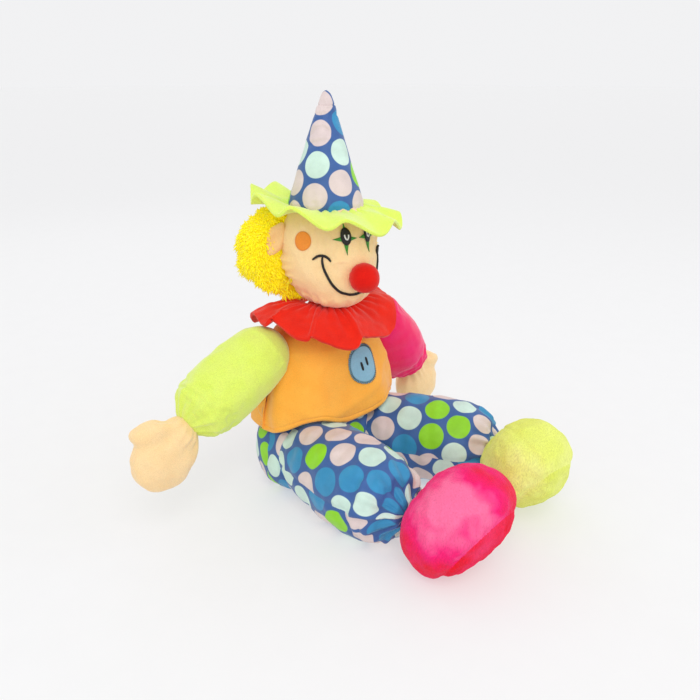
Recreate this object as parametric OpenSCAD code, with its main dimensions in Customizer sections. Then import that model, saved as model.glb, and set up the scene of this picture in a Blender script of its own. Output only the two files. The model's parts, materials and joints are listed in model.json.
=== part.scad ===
// Seated soft hand puppet of a jester figure: a hollow shirt worn on the hand, with
// stuffed head, hat, arms, trousers and shoes. It faces -Y and sits flat on z = 0.

/* [Trousers and seat] */
// Width of the stuffed seat
seat_w = 158; // [130:1:190]
// Depth of the stuffed seat, front to back
seat_d = 104; // [86:1:125]
// Height of the seat up to the waist
seat_h = 86; // [72:1:104]
// Thickness of a trouser leg at its fullest
leg_d = 86; // [70:1:88]
// Length of a leg from hip to ankle gather
leg_len = 145; // [120:1:175]
// Distance from the middle to each hip
hip_x = 46; // [44:1:56]

/* [Shoes] */
// Length of a shoe, heel to toe
shoe_len = 112; // [94:1:118]
// Width of a shoe
shoe_w = 86; // [72:1:92]
// Thickness of a shoe from instep to sole
shoe_t = 76; // [64:1:82]

/* [Shirt] */
// Width of the shirt at its hem
shirt_w = 166; // [160:1:190]
// Depth of the shirt at its hem
shirt_d = 116; // [112:1:134]
// Length of the shirt from hem to neck seam
shirt_h = 108; // [92:1:130]
// Width of the slit for the hand in the back
slit_w = 62; // [50:1:74]
// Thickness of the shirt cloth
cloth_t = 1.4; // [1:0.1:2]

/* [Collar] */
// Width of the gathered collar across the shoulders
collar_w = 168; // [150:1:184]
// Depth of the gathered collar, front to back
collar_d = 148; // [124:1:168]
// Fullness of the collar cloth, top to bottom
collar_t = 7; // [5:0.5:8]

/* [Arms] */
// Thickness of a sleeve at its fullest
arm_d = 67; // [55:1:72]
// Length of a sleeve from shoulder to cuff
arm_len = 98; // [84:1:118]
// Size of a mitten hand across the palm
hand_w = 70; // [58:1:80]

/* [Head] */
// Width of the head
head_w = 104; // [94:1:118]
// Height of the head
head_h = 108; // [96:1:120]
// Diameter of the nose ball
nose_d = 30; // [24:1:36]
// Diameter of the finger pocket in the neck and head
finger_d = 22; // [18:1:24]

/* [Hat] */
// Diameter of the cone where it meets the head
hat_d = 76; // [63:1:88]
// Height of the cone above the head
hat_h = 112; // [92:1:134]
// Width of the gathered brim
brim_d = 156; // [130:1:180]

/* [Hidden] */
$fn = 64;
// running clearance between parts that turn on each other
gap = 0.6;
// clearance between pieces sewn into the same part
seam = 0.1;
ring_t = 1.2;
brim_t = 7;
face_turn = -6;
// distance each shoe centre sits ahead of and above its ankle
shoe_lift = 4;

seat_y = 2;
hip_y = seat_y - seat_d * 0.33;
hip_r = leg_d * 0.453;
hip_z = leg_d / 2 + 1.5;
seat_front = hip_y + 10;
hem_z = seat_h - 8;
neck_z = hem_z + shirt_h;
shirt_y = 5;
shirt_flat = shirt_d / shirt_w;
neck_r = 20;
collar_arch = 144;

hip_lift = 18;
arch_r = hip_r + 19;

shoulder_r = arm_d * 0.44;
shoulder_x = shirt_w * 0.372 + shoulder_r * 0.88;
shoulder_z = neck_z - 29;
shoulder_y = shirt_y;
wrist_r = 11;
ankle_r = 13;

head_z = neck_z + 15 + head_h / 2;
head_y = -8;
nose_y = head_y - head_w * 0.52 - nose_d * 0.17;
hat_z = head_z + head_h * 0.46;
brim_z = head_z + head_h * 0.47;

// directions of each limb, right side first
leg_dir = [[-0.11, -0.994, 0], [0.42, -0.907, 0]];
arm_dir = [[-0.894, 0, -0.447], [0.657, 0.071, -0.75]];
hand_dir = [[-0.69, 0, -0.72], [0.52, 0.05, -0.85]];
toe_dir = [[0.66, -0.36, 0.66], [-0.6, -0.42, 0.68]];

blue = [0.23, 0.37, 0.62];
orange = [1, 0.66, 0.2];
lime = [0.85, 0.93, 0.47];
pink = [0.95, 0.12, 0.4];
red = [0.9, 0.1, 0.03];
peach = [0.96, 0.84, 0.6];
yellow = [1, 0.88, 0];
filling = [0.95, 0.95, 0.93];

function unit(v) = v / norm(v);
function sgn(s) = s == 0 ? -1 : 1;
function hip(s) = [sgn(s) * hip_x, hip_y, hip_z];
function ankle(s) = hip(s) + leg_len * leg_dir[s];
function shoulder(s) = [sgn(s) * shoulder_x, shoulder_y, shoulder_z];
function wrist(s) = shoulder(s) + (arm_len + 2) * unit(arm_dir[s]);
function inset(points, t) = [for (p = points) [max(p[0] - t, 0), p[1]]];

// lays a shape drawn along +Z along a direction from a point
module along(at, dir) {
    d = unit(dir);
    translate(at)
        rotate([0, acos(d[2]), atan2(d[1], d[0])])
            children();
}

// half profile of a stuffed limb with a ball at its root, as radius and distance
function limb(root, full, end, length) = [
    for (a = [0 : 15 : 90]) [root * sin(a), -root * cos(a)],
    [root, length * 0.06],
    [root + (full - root) * 0.6, length * 0.28],
    [full, length * 0.45],
    [full, length * 0.58],
    [full * 0.965, length * 0.7],
    [full * 0.86, length * 0.81],
    [full * 0.72, length * 0.89],
    [end + 4, length * 0.96],
    [end, length],
    [0, length]
];
function limb_inner(root, full, end, length, t) = [
    for (a = [0 : 15 : 90]) [(root - t) * sin(a), -(root - t) * cos(a)],
    [root - t, length * 0.06],
    [root + (full - root) * 0.6 - t, length * 0.28],
    [full - t, length * 0.45],
    [full - t, length * 0.58],
    [full * 0.965 - t, length * 0.7],
    [full * 0.86 - t, length * 0.81 - t / 2],
    [full * 0.72 - t, length * 0.89 - t],
    [end + 4 - t, length * 0.96 - t],
    [end - t, length - t - 1],
    [0, length - t - 1]
];

module limb_body(root, full, end, length, t) {
    rotate_extrude()
        polygon(limb_inner(root, full, end, length, t));
}

module limb_cover(root, full, end, length, ball) {
    difference() {
        rotate_extrude()
            polygon(limb(root, full, end, length));
        limb_body(root, full, end, length, cloth_t);
        translate([0, 0, length + 2])
            sphere(ball + gap);
    }
}

module limb_filling(root, full, end, length, ball) {
    difference() {
        limb_body(root, full, end, length, cloth_t + seam);
        translate([0, 0, length + 2])
            sphere(ball + gap + seam);
        translate([0, 0, length - cloth_t - 4.3])
            cylinder(h = 20, r = full);
    }
}

// part of a thin spherical shell, open through its middle
module socket_ring(ball) {
    rotate_extrude()
        polygon([
            for (a = [28 : 6 : 46]) [(ball + gap) * sin(a), -(ball + gap) * cos(a)],
            for (a = [46 : -6 : 28]) [(ball + gap + ring_t) * sin(a), -(ball + gap + ring_t) * cos(a)]
        ]);
}

// elastic lying inside the gathered end of a limb
module elastic(end, length) {
    translate([0, 0, length - cloth_t - 2.6])
        rotate_extrude()
            translate([end - cloth_t - 1.6, 0])
                circle(1.5, $fn = 24);
}

// trousers seat

module seat_form(t) {
    translate([0, seat_y, 0])
        scale([1, seat_d / seat_w, 1])
            rotate_extrude()
                polygon([
                    [0, -4],
                    [seat_w * 0.36 - t, -4],
                    [seat_w * 0.45 - t, seat_h * 0.1 + t / 2],
                    [seat_w * 0.49 - t, seat_h * 0.25],
                    [seat_w * 0.5 - t, seat_h * 0.42],
                    [seat_w * 0.49 - t, seat_h * 0.62],
                    [seat_w * 0.46 - t, seat_h * 0.8],
                    [seat_w * 0.41 - t, seat_h * 0.93 - t / 2],
                    [seat_w * 0.35 - t, seat_h - t],
                    [0, seat_h - t]
                ]);
}

module hip_sockets(extra) {
    for (s = [0, 1])
        translate(hip(s))
            sphere(hip_r + 2 * gap + ring_t + extra);
}

module seat_cut(t) {
    difference() {
        seat_form(t);
        translate([-200, -200, t - 50])
            cube([400, 400, 50]);
        translate([-200, seat_front - 300 + t, -10])
            cube([400, 300, 200]);
        hip_sockets(t);
        translate([0, seat_y, seat_h])
            cylinder(h = 12, r = seat_w * 0.26 + t, center = true);
    }
}

module trousers_seat() {
    color(blue)
        difference() {
            seat_cut(0);
            seat_cut(cloth_t);
        }
}

module seat_stuffing() {
    color(filling)
        seat_cut(cloth_t + seam);
}

module waist_elastic() {
    color(blue)
        translate([0, seat_y, seat_h - 6 + seam])
            difference() {
                cylinder(h = 5, r = seat_w * 0.26 - seam);
                translate([0, 0, -1])
                    cylinder(h = 7, r = seat_w * 0.26 - 5);
            }
}

// legs and shoes

module hip_ring(s) {
    color(blue)
        along(hip(s), leg_dir[s])
            socket_ring(hip_r);
}

module trouser_leg(s) {
    color(blue)
        along(hip(s), leg_dir[s])
            limb_cover(hip_r, leg_d / 2, 20, leg_len, ankle_r);
}

module leg_stuffing(s) {
    color(filling)
        along(hip(s), leg_dir[s])
            limb_filling(hip_r, leg_d / 2, 20, leg_len, ankle_r);
}

module ankle_elastic(s) {
    color(blue)
        along(hip(s), leg_dir[s])
            elastic(20, leg_len);
}

// a shoe's own frame: x across, y to the toe, z out through the sole
module shoe_frame(s) {
    toe = unit(toe_dir[s]);
    raw = [sgn(s) * -0.1, -0.85, -0.5];
    sole = unit(raw - toe * (raw * toe));
    side = cross(toe, sole);
    heel = ankle(s) + 2 * leg_dir[s];
    c = heel + toe * shoe_len * 0.27 + sole * shoe_t * 0.53 + [0, 0, shoe_lift + 3 * s];
    multmatrix([
        [side[0], toe[0], sole[0], c[0]],
        [side[1], toe[1], sole[1], c[1]],
        [side[2], toe[2], sole[2], c[2]],
        [0, 0, 0, 1]
    ])
        children();
}

module shoe_form(t) {
    difference() {
        scale([shoe_w / 2 - t, shoe_len / 2 - t, shoe_t * 0.53 - t])
            sphere(1);
        translate([-100, -100, shoe_t * 0.42 - t])
            cube([200, 200, 60]);
    }
}

module shoe_clearance(s, extra) {
    along(ankle(s), leg_dir[s])
        rotate_extrude()
            polygon([
                [0, -40],
                [44, -40],
                [44, 0],
                [26 + extra, 8 + extra],
                [0, 8 + extra]
            ]);
}

module ankle_neck(s) {
    along(ankle(s) + 2 * leg_dir[s], leg_dir[s])
        rotate_extrude()
            polygon([
                for (a = [0 : 15 : 90]) [ankle_r * sin(a), -ankle_r * cos(a)],
                [ankle_r, 16],
                [0, 16]
            ]);
}

module shoe_upper(s) {
    color(s == 0 ? pink : lime)
        difference() {
            union() {
                difference() {
                    shoe_frame(s)
                        shoe_form(0);
                    shoe_clearance(s, 0);
                }
                ankle_neck(s);
            }
            difference() {
                shoe_frame(s)
                    shoe_form(cloth_t + 0.6);
                shoe_clearance(s, cloth_t + 0.6);
            }
            shoe_frame(s)
                translate([-100, -100, shoe_t * 0.42 - 3])
                    cube([200, 200, 60]);
        }
}

module shoe_sole(s) {
    color(s == 0 ? pink : lime)
        difference() {
            shoe_frame(s)
                intersection() {
                    shoe_form(0);
                    translate([-100, -100, shoe_t * 0.42 - 3 + seam])
                        cube([200, 200, 60]);
                }
            shoe_clearance(s, 1);
        }
}

module shoe_stuffing(s) {
    color(filling)
        difference() {
            shoe_frame(s)
                shoe_form(cloth_t + 0.6 + seam);
            shoe_clearance(s, cloth_t + 0.6 + seam);
            shoe_frame(s)
                translate([-100, -100, shoe_t * 0.42 - 3])
                    cube([200, 200, 60]);
        }
}

// shirt, lining and collar

function shirt_line(w, h, t) = [
    [w * 0.500 - t, 0],
    [w * 0.499 - t, h * 0.15],
    [w * 0.475 - t, h * 0.32],
    [w * 0.435 - t, h * 0.5],
    [w * 0.405 - t, h * 0.62],
    [w * 0.372 - t, h * 0.75],
    [w * 0.325 - t, h * 0.87],
    [w * 0.27 - t, h * 0.95],
    [w * 0.2 - t, h - 2 - t * 0.5]
];

function shirt_radius(z, t) =
    lookup(z, [for (p = shirt_line(shirt_w, shirt_h, t)) [p[1], p[0]]]);

module shirt_bag(t, low) {
    translate([0, shirt_y, hem_z])
        scale([1, shirt_flat, 1])
            rotate_extrude()
                polygon(concat(
                    [[0, low], [shirt_radius(low, t), low]],
                    [for (p = shirt_line(shirt_w, shirt_h, t)) if (p[1] > low + 1) p],
                    [[0, shirt_h - 2 - t * 0.5]]
                ));
}

module slit(extra) {
    translate([0, shirt_y, hem_z + shirt_h * 0.42])
        rotate([-90, 0, 0])
            cylinder(h = 100, r = slit_w / 2 + extra);
    translate([-slit_w / 2 - extra, shirt_y, -10])
        cube([slit_w + 2 * extra, 100, hem_z + shirt_h * 0.42 + 10]);
}

module shirt_openings() {
    slit(0);
    for (s = [0, 1]) {
        translate(shoulder(s))
            sphere(shoulder_r + 2 * gap + ring_t + 3);
        along(hip(s) - 20 * leg_dir[s], leg_dir[s])
            cylinder(h = 130, r = arch_r);
    }
    translate([0, 0, neck_z - 14])
        cylinder(h = 40, r = 24 + seam);
}

module shirt_shell() {
    difference() {
        shirt_bag(0, 0);
        shirt_bag(cloth_t, -1);
        shirt_openings();
    }
}

module shirt_front() {
    color(orange)
        intersection() {
            shirt_shell();
            translate([-120, shirt_y - 120, 0])
                cube([240, 120 - seam, 300]);
        }
}

module shirt_back() {
    color(orange)
        intersection() {
            shirt_shell();
            translate([-120, shirt_y, 0])
                cube([240, 120, 300]);
        }
}

module hand_slit_hem() {
    color(orange)
        intersection() {
            difference() {
                shirt_bag(-1.6, 6);
                shirt_bag(-seam, -1);
            }
            difference() {
                slit(5);
                slit(0);
            }
        }
}

module glove_lining() {
    color(filling)
        difference() {
            shirt_bag(cloth_t + 2, 26);
            shirt_bag(cloth_t + 3.2, 20);
            slit(0);
            for (s = [0, 1])
                translate(shoulder(s))
                    sphere(shoulder_r + 4);
            along(hip(0) - 20 * leg_dir[0], leg_dir[0])
                cylinder(h = 130, r = arch_r);
            along(hip(1) - 20 * leg_dir[1], leg_dir[1])
                cylinder(h = 130, r = arch_r);
            translate([0, 0, neck_z - 14])
                cylinder(h = 40, r = 24 + seam);
        }
}

module button_patch() {
    color([0.56, 0.72, 0.78])
        intersection() {
            difference() {
                shirt_bag(-1.2, 4);
                shirt_bag(-seam, -1);
            }
            translate([shirt_w * 0.075, 0, hem_z + shirt_h * 0.55])
                rotate([90, 0, 0])
                    cylinder(h = 100, r = 20);
        }
}

module patch_stitches() {
    color([0.05, 0.05, 0.05])
        intersection() {
            difference() {
                shirt_bag(-2.2, 4);
                shirt_bag(-1.2 - seam, -1);
            }
            for (x = [-4, 4])
                translate([shirt_w * 0.075 + x - 1, -100, hem_z + shirt_h * 0.55 - 4])
                    cube([2, 100, 9]);
        }
}

module neck_tube() {
    color(orange)
        difference() {
            union() {
                translate([0, 0, neck_z - 10])
                    cylinder(h = 9, r = 24);
                difference() {
                    translate([0, 0, neck_z - 1])
                        sphere(neck_r);
                    translate([-30, -30, neck_z - 42])
                        cube([60, 60, 40]);
                }
            }
            cylinder(h = 400, d = finger_d);
        }
}

module neck_band() {
    color(red)
        difference() {
            rotate_extrude()
                polygon([
                    for (a = [78 : -6 : 36]) [(neck_r + gap) * sin(a), neck_z - 1 + (neck_r + gap) * cos(a)],
                    for (a = [36 : 6 : 78]) [(neck_r + 2) * sin(a), neck_z - 1 + (neck_r + 2) * cos(a)]
                ]);
            cylinder(h = 400, d = finger_d);
        }
}

module collar_arch_solid(r) {
    translate([-150, 0, neck_z + 10 - collar_arch])
        rotate([0, 90, 0])
            cylinder(h = 300, r = r, $fn = 240);
}

module collar_ruffle() {
    color(red)
        difference() {
            intersection() {
                collar_arch_solid(collar_arch);
                translate([0, 0, neck_z - 60])
                    cylinder(h = 100, d = collar_w, $fn = 120);
                translate([-150, -collar_d / 2, 0])
                    cube([300, collar_d, 400]);
            }
            collar_arch_solid(collar_arch - collar_t);
            translate([0, 0, neck_z - 60])
                cylinder(h = 100, r = neck_r + 5);
        }
}

// arms and hands

module armhole_ring(s) {
    color(s == 0 ? lime : red)
        along(shoulder(s), [sgn(s), 0, 0])
            socket_ring(shoulder_r);
}

module sleeve(s) {
    color(s == 0 ? lime : red)
        along(shoulder(s), arm_dir[s])
            limb_cover(shoulder_r, arm_d / 2, 16, arm_len, wrist_r);
}

module arm_stuffing(s) {
    color(filling)
        along(shoulder(s), arm_dir[s])
            limb_filling(shoulder_r, arm_d / 2, 16, arm_len, wrist_r);
}

module cuff_elastic(s) {
    color(s == 0 ? lime : red)
        along(shoulder(s), arm_dir[s])
            elastic(16, arm_len);
}

module hand_form(s, t) {
    along(wrist(s), hand_dir[s]) {
        rotate_extrude()
            polygon([
                for (a = [0 : 15 : 90]) [(wrist_r - t) * sin(a), -(wrist_r - t) * cos(a)],
                [wrist_r - t, 18],
                [0, 18]
            ]);
        translate([0, 0, 17 + hand_w * 0.3])
            scale([hand_w / 2 - t, hand_w * 0.26 - t, hand_w * 0.42 - t])
                sphere(1);
        translate([-hand_w * 0.34, 0, 12 + hand_w * 0.26])
            rotate([0, -52, 0])
                scale([hand_w * 0.15 - t, hand_w * 0.17 - t, hand_w * 0.27 - t])
                    sphere(1);
    }
}

module hand(s) {
    color(peach)
        difference() {
            hand_form(s, 0);
            hand_form(s, cloth_t);
        }
}

module hand_stuffing(s) {
    color(filling)
        hand_form(s, cloth_t + seam);
}

// head

module muzzle(t) {
    rotate([0, 0, face_turn])
        translate([0, head_y - head_w * 0.19, head_z - head_h * 0.165])
            scale([head_w * 0.4 + t, head_w * 0.33 + t, head_h * 0.343 + t])
                sphere(1);
}

module head_form(t) {
    rotate([0, 0, face_turn])
        translate([0, head_y, head_z])
            scale([head_w / 2 + t, head_w / 2 + t, head_h / 2 + t])
                sphere(1);
    muzzle(t);
}

module neck_socket(t) {
    translate([0, 0, neck_z - 1])
        sphere(neck_r + 2 + gap + t);
}

module pocket_hole() {
    cylinder(h = head_z + 12 + seam, d = finger_d + 2 + 2 * seam);
}

module head_cover() {
    color(peach)
        difference() {
            head_form(0);
            neck_socket(0);
            pocket_hole();
            difference() {
                head_form(-cloth_t);
                neck_socket(cloth_t);
            }
        }
}

module head_stuffing() {
    color(filling)
        difference() {
            head_form(-cloth_t - seam);
            neck_socket(cloth_t + seam);
            pocket_hole();
        }
}

module finger_pocket() {
    color(filling)
        difference() {
            translate([0, 0, neck_z + 5])
                cylinder(h = head_z + 7 - neck_z, d = finger_d + 2);
            translate([0, 0, neck_z])
                cylinder(h = head_z + 11 - neck_z, d = finger_d);
            neck_socket(seam);
        }
}

module face_frame() {
    rotate([0, 0, face_turn])
        translate([0, 0, head_z])
            children();
}

// a flat sewn or stitched shape laid on the face, from its outline seen from the front
module on_face(raised, from) {
    difference() {
        intersection() {
            head_form(raised);
            face_frame()
                rotate([90, 0, 0])
                    linear_extrude(height = 120)
                        children();
        }
        head_form(from);
    }
}

module cheek(s) {
    color(orange)
        difference() {
            intersection() {
                head_form(1.2);
                face_frame()
                    translate([0, head_y, 0])
                        along([0, 0, 0], [sgn(s) * 0.9, -0.4, 0.41])
                            cylinder(h = 100, r = 9);
            }
            head_form(seam);
        }
}

module eye_star(s) {
    color([0.25, 0.6, 0.2])
        on_face(0.9, seam)
            translate([sgn(s) * 13.5, head_h * 0.23])
                polygon([
                    for (i = [0 : 7])
                        let (r = i % 2 == 0 ? (i % 4 == 0 ? 9 : 12) : 4.5)
                        [r * cos(i * 45), r * sin(i * 45)]
                ]);
}

module eye_pupil(s) {
    color([0.04, 0.04, 0.04])
        on_face(2.2, 0.9 + seam)
            translate([sgn(s) * 13.5, head_h * 0.23 + 1])
                scale([1, 1.4])
                    circle(4.6, $fn = 32);
}

// a ball with its back cut flat where it is sewn on
module nose_ball() {
    r = nose_d / 2;
    depth = nose_d * 0.17 - 0.4;
    back = 90 + asin(depth / r);
    color(red)
        face_frame()
            translate([0, nose_y, -head_h * 0.14])
                rotate([90, 0, 0])
                    rotate_extrude()
                        polygon(concat(
                            [for (i = [0 : 18]) [r * sin(back * i / 18), r * cos(back * i / 18)]],
                            [[0, -depth]]
                        ));
}

function smile(a, r) = [r * sin(a), -r * 0.72 * cos(a) - head_h * 0.11];

module mouth_stitching() {
    color([0.05, 0.05, 0.05])
        on_face(1.1, seam)
            polygon([
                for (a = [-80 : 10 : 80]) smile(a, head_w * 0.37),
                for (a = [80 : -10 : -80]) smile(a, head_w * 0.37 - 2.6)
            ]);
}

module ear(s) {
    color(peach)
        difference() {
            face_frame()
                translate([sgn(s) * (head_w / 2 + 3), 0, head_h * 0.15])
                    rotate([0, sgn(s) * 14, sgn(s) * 24])
                        scale([6, 11, 16])
                            sphere(1);
            head_form(seam);
        }
}

module hair_form() {
    difference() {
        face_frame()
            translate([0, 20, head_h * 0.03])
                scale([head_w * 0.77, 62, head_h * 0.48])
                    sphere(1);
        head_form(seam);
        face_frame()
            translate([-150, -150 + 8, -100])
                cube([300, 150, 200]);
        brim_frame()
            translate([-150, -150, -brim_t / 2 - seam])
                cube([300, 300, 100]);
        translate([0, -4, hat_z - 12 - seam])
            cylinder(h = 60, d = hat_d + 2 * seam);
    }
}

module hair_pile() {
    color(yellow)
        difference() {
            hair_form();
            for (s = [0, 1])
                face_frame()
                    translate([sgn(s) * (head_w / 2 + 3), 0, head_h * 0.15])
                        rotate([0, sgn(s) * 14, sgn(s) * 24])
                            scale([6.2, 11.2, 16.2])
                                sphere(1);
        }
}

module thread_tuft() {
    color(yellow)
        difference() {
            face_frame()
                translate([-head_w * 0.44, -1, -head_h * 0.26])
                    sphere(4, $fn = 32);
            head_form(seam);
            hair_form();
        }
}

// hat

module hat_profile(t) {
    translate([0, -4, 0])
        rotate_extrude()
            polygon([
                [0, hat_z - 12],
                [hat_d / 2 - t, hat_z - 12],
                [hat_d / 2 - t, hat_z + 3],
                [hat_d * 0.35 - t, hat_z + hat_h * 0.33],
                [hat_d * 0.19 - t, hat_z + hat_h * 0.68],
                [hat_d * 0.1 - t * 0.9, hat_z + hat_h * 0.94 - t / 2],
                [hat_d * 0.05 - t * 0.3, hat_z + hat_h - t],
                [0, hat_z + hat_h - t]
            ]);
}

module hat_cone() {
    color(blue)
        difference() {
            hat_profile(0);
            hat_profile(cloth_t);
            head_form(seam);
        }
}

module hat_stuffing() {
    color(filling)
        difference() {
            hat_profile(cloth_t + seam);
            head_form(seam);
        }
}

module brim_frame() {
    translate([0, -4, brim_z])
        rotate([6, 7, 0])
            children();
}

module hat_brim() {
    color(lime)
        difference() {
            brim_frame()
                translate([0, 0, -brim_t / 2])
                    cylinder(h = brim_t, d = brim_d);
            head_form(1.2);
            translate([0, -4, 0])
                cylinder(h = 500, d = hat_d + 2 * seam);
        }
}

trousers_seat();
seat_stuffing();
waist_elastic();
hip_ring(0);  // hip_ring_right
hip_ring(1);  // hip_ring_left
trouser_leg(0);  // trouser_leg_right
trouser_leg(1);  // trouser_leg_left
leg_stuffing(0);  // leg_stuffing_right
leg_stuffing(1);  // leg_stuffing_left
ankle_elastic(0);  // ankle_elastic_right
ankle_elastic(1);  // ankle_elastic_left
shoe_upper(0);  // shoe_upper_right
shoe_upper(1);  // shoe_upper_left
shoe_sole(0);  // shoe_sole_right
shoe_sole(1);  // shoe_sole_left
shoe_stuffing(0);  // shoe_stuffing_right
shoe_stuffing(1);  // shoe_stuffing_left
shirt_front();
shirt_back();
hand_slit_hem();
glove_lining();
button_patch();
patch_stitches();
neck_tube();
collar_ruffle();
neck_band();
armhole_ring(0);  // armhole_ring_right
armhole_ring(1);  // armhole_ring_left
sleeve(0);  // sleeve_right
sleeve(1);  // sleeve_left
arm_stuffing(0);  // arm_stuffing_right
arm_stuffing(1);  // arm_stuffing_left
cuff_elastic(0);  // cuff_elastic_right
cuff_elastic(1);  // cuff_elastic_left
hand(0);  // hand_right
hand(1);  // hand_left
hand_stuffing(0);  // hand_stuffing_right
hand_stuffing(1);  // hand_stuffing_left
head_cover();
head_stuffing();
finger_pocket();
ear(0);  // ear_right
ear(1);  // ear_left
hair_pile();
thread_tuft();
cheek(0);  // cheek_right
cheek(1);  // cheek_left
eye_star(0);  // eye_star_right
eye_star(1);  // eye_star_left
eye_pupil(0);  // eye_pupil_right
eye_pupil(1);  // eye_pupil_left
nose_ball();
mouth_stitching();
hat_cone();
hat_stuffing();
hat_brim();
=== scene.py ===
import bmesh, bpy, json, math
import numpy as np
from mathutils import Vector, Matrix
from mathutils.bvhtree import BVHTree


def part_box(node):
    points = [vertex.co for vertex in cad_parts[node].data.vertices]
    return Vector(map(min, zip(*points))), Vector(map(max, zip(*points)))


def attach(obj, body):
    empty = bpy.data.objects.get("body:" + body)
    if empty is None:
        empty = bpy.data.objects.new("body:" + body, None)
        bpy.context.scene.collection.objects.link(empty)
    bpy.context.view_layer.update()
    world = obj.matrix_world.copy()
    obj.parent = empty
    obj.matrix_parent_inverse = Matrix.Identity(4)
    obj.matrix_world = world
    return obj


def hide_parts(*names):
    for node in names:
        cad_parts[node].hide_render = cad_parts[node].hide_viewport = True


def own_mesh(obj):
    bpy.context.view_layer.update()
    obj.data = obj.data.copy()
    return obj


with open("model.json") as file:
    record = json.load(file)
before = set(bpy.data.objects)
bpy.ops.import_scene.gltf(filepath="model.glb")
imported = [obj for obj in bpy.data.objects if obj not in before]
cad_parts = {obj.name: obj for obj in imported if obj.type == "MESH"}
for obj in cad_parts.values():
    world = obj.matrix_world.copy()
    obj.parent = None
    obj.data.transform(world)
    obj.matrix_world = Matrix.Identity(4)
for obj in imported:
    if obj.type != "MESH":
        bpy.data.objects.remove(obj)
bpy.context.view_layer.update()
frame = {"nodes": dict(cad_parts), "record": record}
mm = 0.001
tau = 2 * math.pi
sides = ("right", "left")
outward = {"right": -1, "left": 1}
jointAt = {j["name"]: np.array(j["pos_m"], float) for j in frame["record"]["behaviour"]["joints"]}


# ways to make and shape cloth pieces

def easeStep(x, a, b):
    t = np.clip((x - a) / (b - a), 0, 1)
    return t * t * (3 - 2 * t)


def unitVector(v):
    v = np.array(v, float)
    return v / np.linalg.norm(v)


def clothNoise(points, size, seed, waves=20):
    # soft lumps about one size across, the same on every run
    rng = np.random.RandomState(seed)
    total = np.zeros(len(points))
    for _ in range(waves):
        d = unitVector(rng.normal(size=3))
        total += np.sin(points @ d * tau / size * rng.uniform(0.6, 1.5) + rng.uniform(0, tau))
    return total / math.sqrt(waves)


def localFrame(origin, direction, upHint=(0, 0, 1)):
    # columns: side, up, along
    w = unitVector(direction)
    u = unitVector(np.cross(upHint, w))
    v = np.cross(w, u)
    return np.array(origin, float), np.stack([u, v, w], 1)


def tiltAcross(turn):
    # turns points about the y axis
    return np.array([[math.cos(turn), 0, math.sin(turn)], [0, 1, 0], [-math.sin(turn), 0, math.cos(turn)]])


def turnFlat(turn):
    # turns points about the upright axis
    return np.array([[math.cos(turn), -math.sin(turn), 0], [math.sin(turn), math.cos(turn), 0], [0, 0, 1]])


def toWorld(points, place):
    origin, axes = place
    return points @ axes.T + origin


def smoothFaces(mesh):
    mesh.polygons.foreach_set("use_smooth", [True] * len(mesh.polygons))


def newPiece(name, verts, faces, uvs=None):
    mesh = bpy.data.meshes.new(name)
    mesh.from_pydata([tuple(v) for v in verts], [], [tuple(int(i) for i in f) for f in faces])
    mesh.update()
    smoothFaces(mesh)
    if uvs is not None:
        layer = mesh.uv_layers.new(name="clothUv")
        flat = np.array([c for f in uvs for c in f], np.float32).reshape(-1)
        layer.data.foreach_set("uv", flat)
    piece = bpy.data.objects.new(name, mesh)
    bpy.context.scene.collection.objects.link(piece)
    return piece


def ringMesh(name, rings, uvOf=None, capEnd=True):
    # rings: rows x around x 3, joined round and closed at the ends
    rows, around = rings.shape[:2]
    verts = rings.reshape(-1, 3).tolist()
    faces, uvs = [], []
    for i in range(rows - 1):
        for j in range(around):
            k = (j + 1) % around
            faces.append((i * around + j, i * around + k, (i + 1) * around + k, (i + 1) * around + j))
            if uvOf:
                uvs.append((uvOf(i, j, j), uvOf(i, j + 1, j), uvOf(i + 1, j + 1, j), uvOf(i + 1, j, j)))
    for row in (0, rows - 1) if capEnd else (0,):
        flip = row == 0
        verts.append(rings[row].mean(0).tolist())
        centre = len(verts) - 1
        for j in range(around):
            k = (j + 1) % around
            a, b = row * around + j, row * around + k
            faces.append((centre, b, a) if flip else (centre, a, b))
            if uvOf:
                pa, pb = uvOf(row, j, j), uvOf(row, j + 1, j)
                mid = ((pa[0] + pb[0]) / 2, pa[1])
                uvs.append((mid, pb, pa) if flip else (mid, pa, pb))
    return newPiece(name, verts, faces, uvs if uvOf else None)


def gridMesh(name, grid):
    rows, cols = grid.shape[:2]
    starts = [i * cols + j for i in range(rows - 1) for j in range(cols - 1)]
    return newPiece(name, grid.reshape(-1, 3), [(a, a + 1, a + cols + 1, a + cols) for a in starts])


def sewClosed(piece):
    # joins points that lie on each other
    bm = bmesh.new()
    bm.from_mesh(piece.data)
    bmesh.ops.remove_doubles(bm, verts=bm.verts, dist=1e-6)
    bm.to_mesh(piece.data)
    bm.free()
    smoothFaces(piece.data)


def cutAway(piece, unwanted):
    # removes the faces for which unwanted(face) is true
    bm = bmesh.new()
    bm.from_mesh(piece.data)
    bmesh.ops.delete(bm, geom=[f for f in bm.faces if unwanted(f)], context="FACES")
    bm.to_mesh(piece.data)
    bm.free()


def roundEdges(piece):
    m = piece.modifiers.new("roundEdge", "BEVEL")
    m.width = 0.7 * mm
    m.segments = 2
    m.limit_method = "ANGLE"
    m.angle_limit = math.radians(60)
    bakeModifiers(piece)
    smoothFaces(piece.data)


def readPoints(piece):
    co = np.empty(len(piece.data.vertices) * 3)
    piece.data.vertices.foreach_get("co", co)
    return co.reshape(-1, 3)


def writePoints(piece, co):
    piece.data.vertices.foreach_set("co", np.asarray(co, float).reshape(-1))
    piece.data.update()


def pointNormals(piece):
    n = np.empty(len(piece.data.vertices) * 3)
    piece.data.vertices.foreach_get("normal", n)
    return n.reshape(-1, 3)


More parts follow.
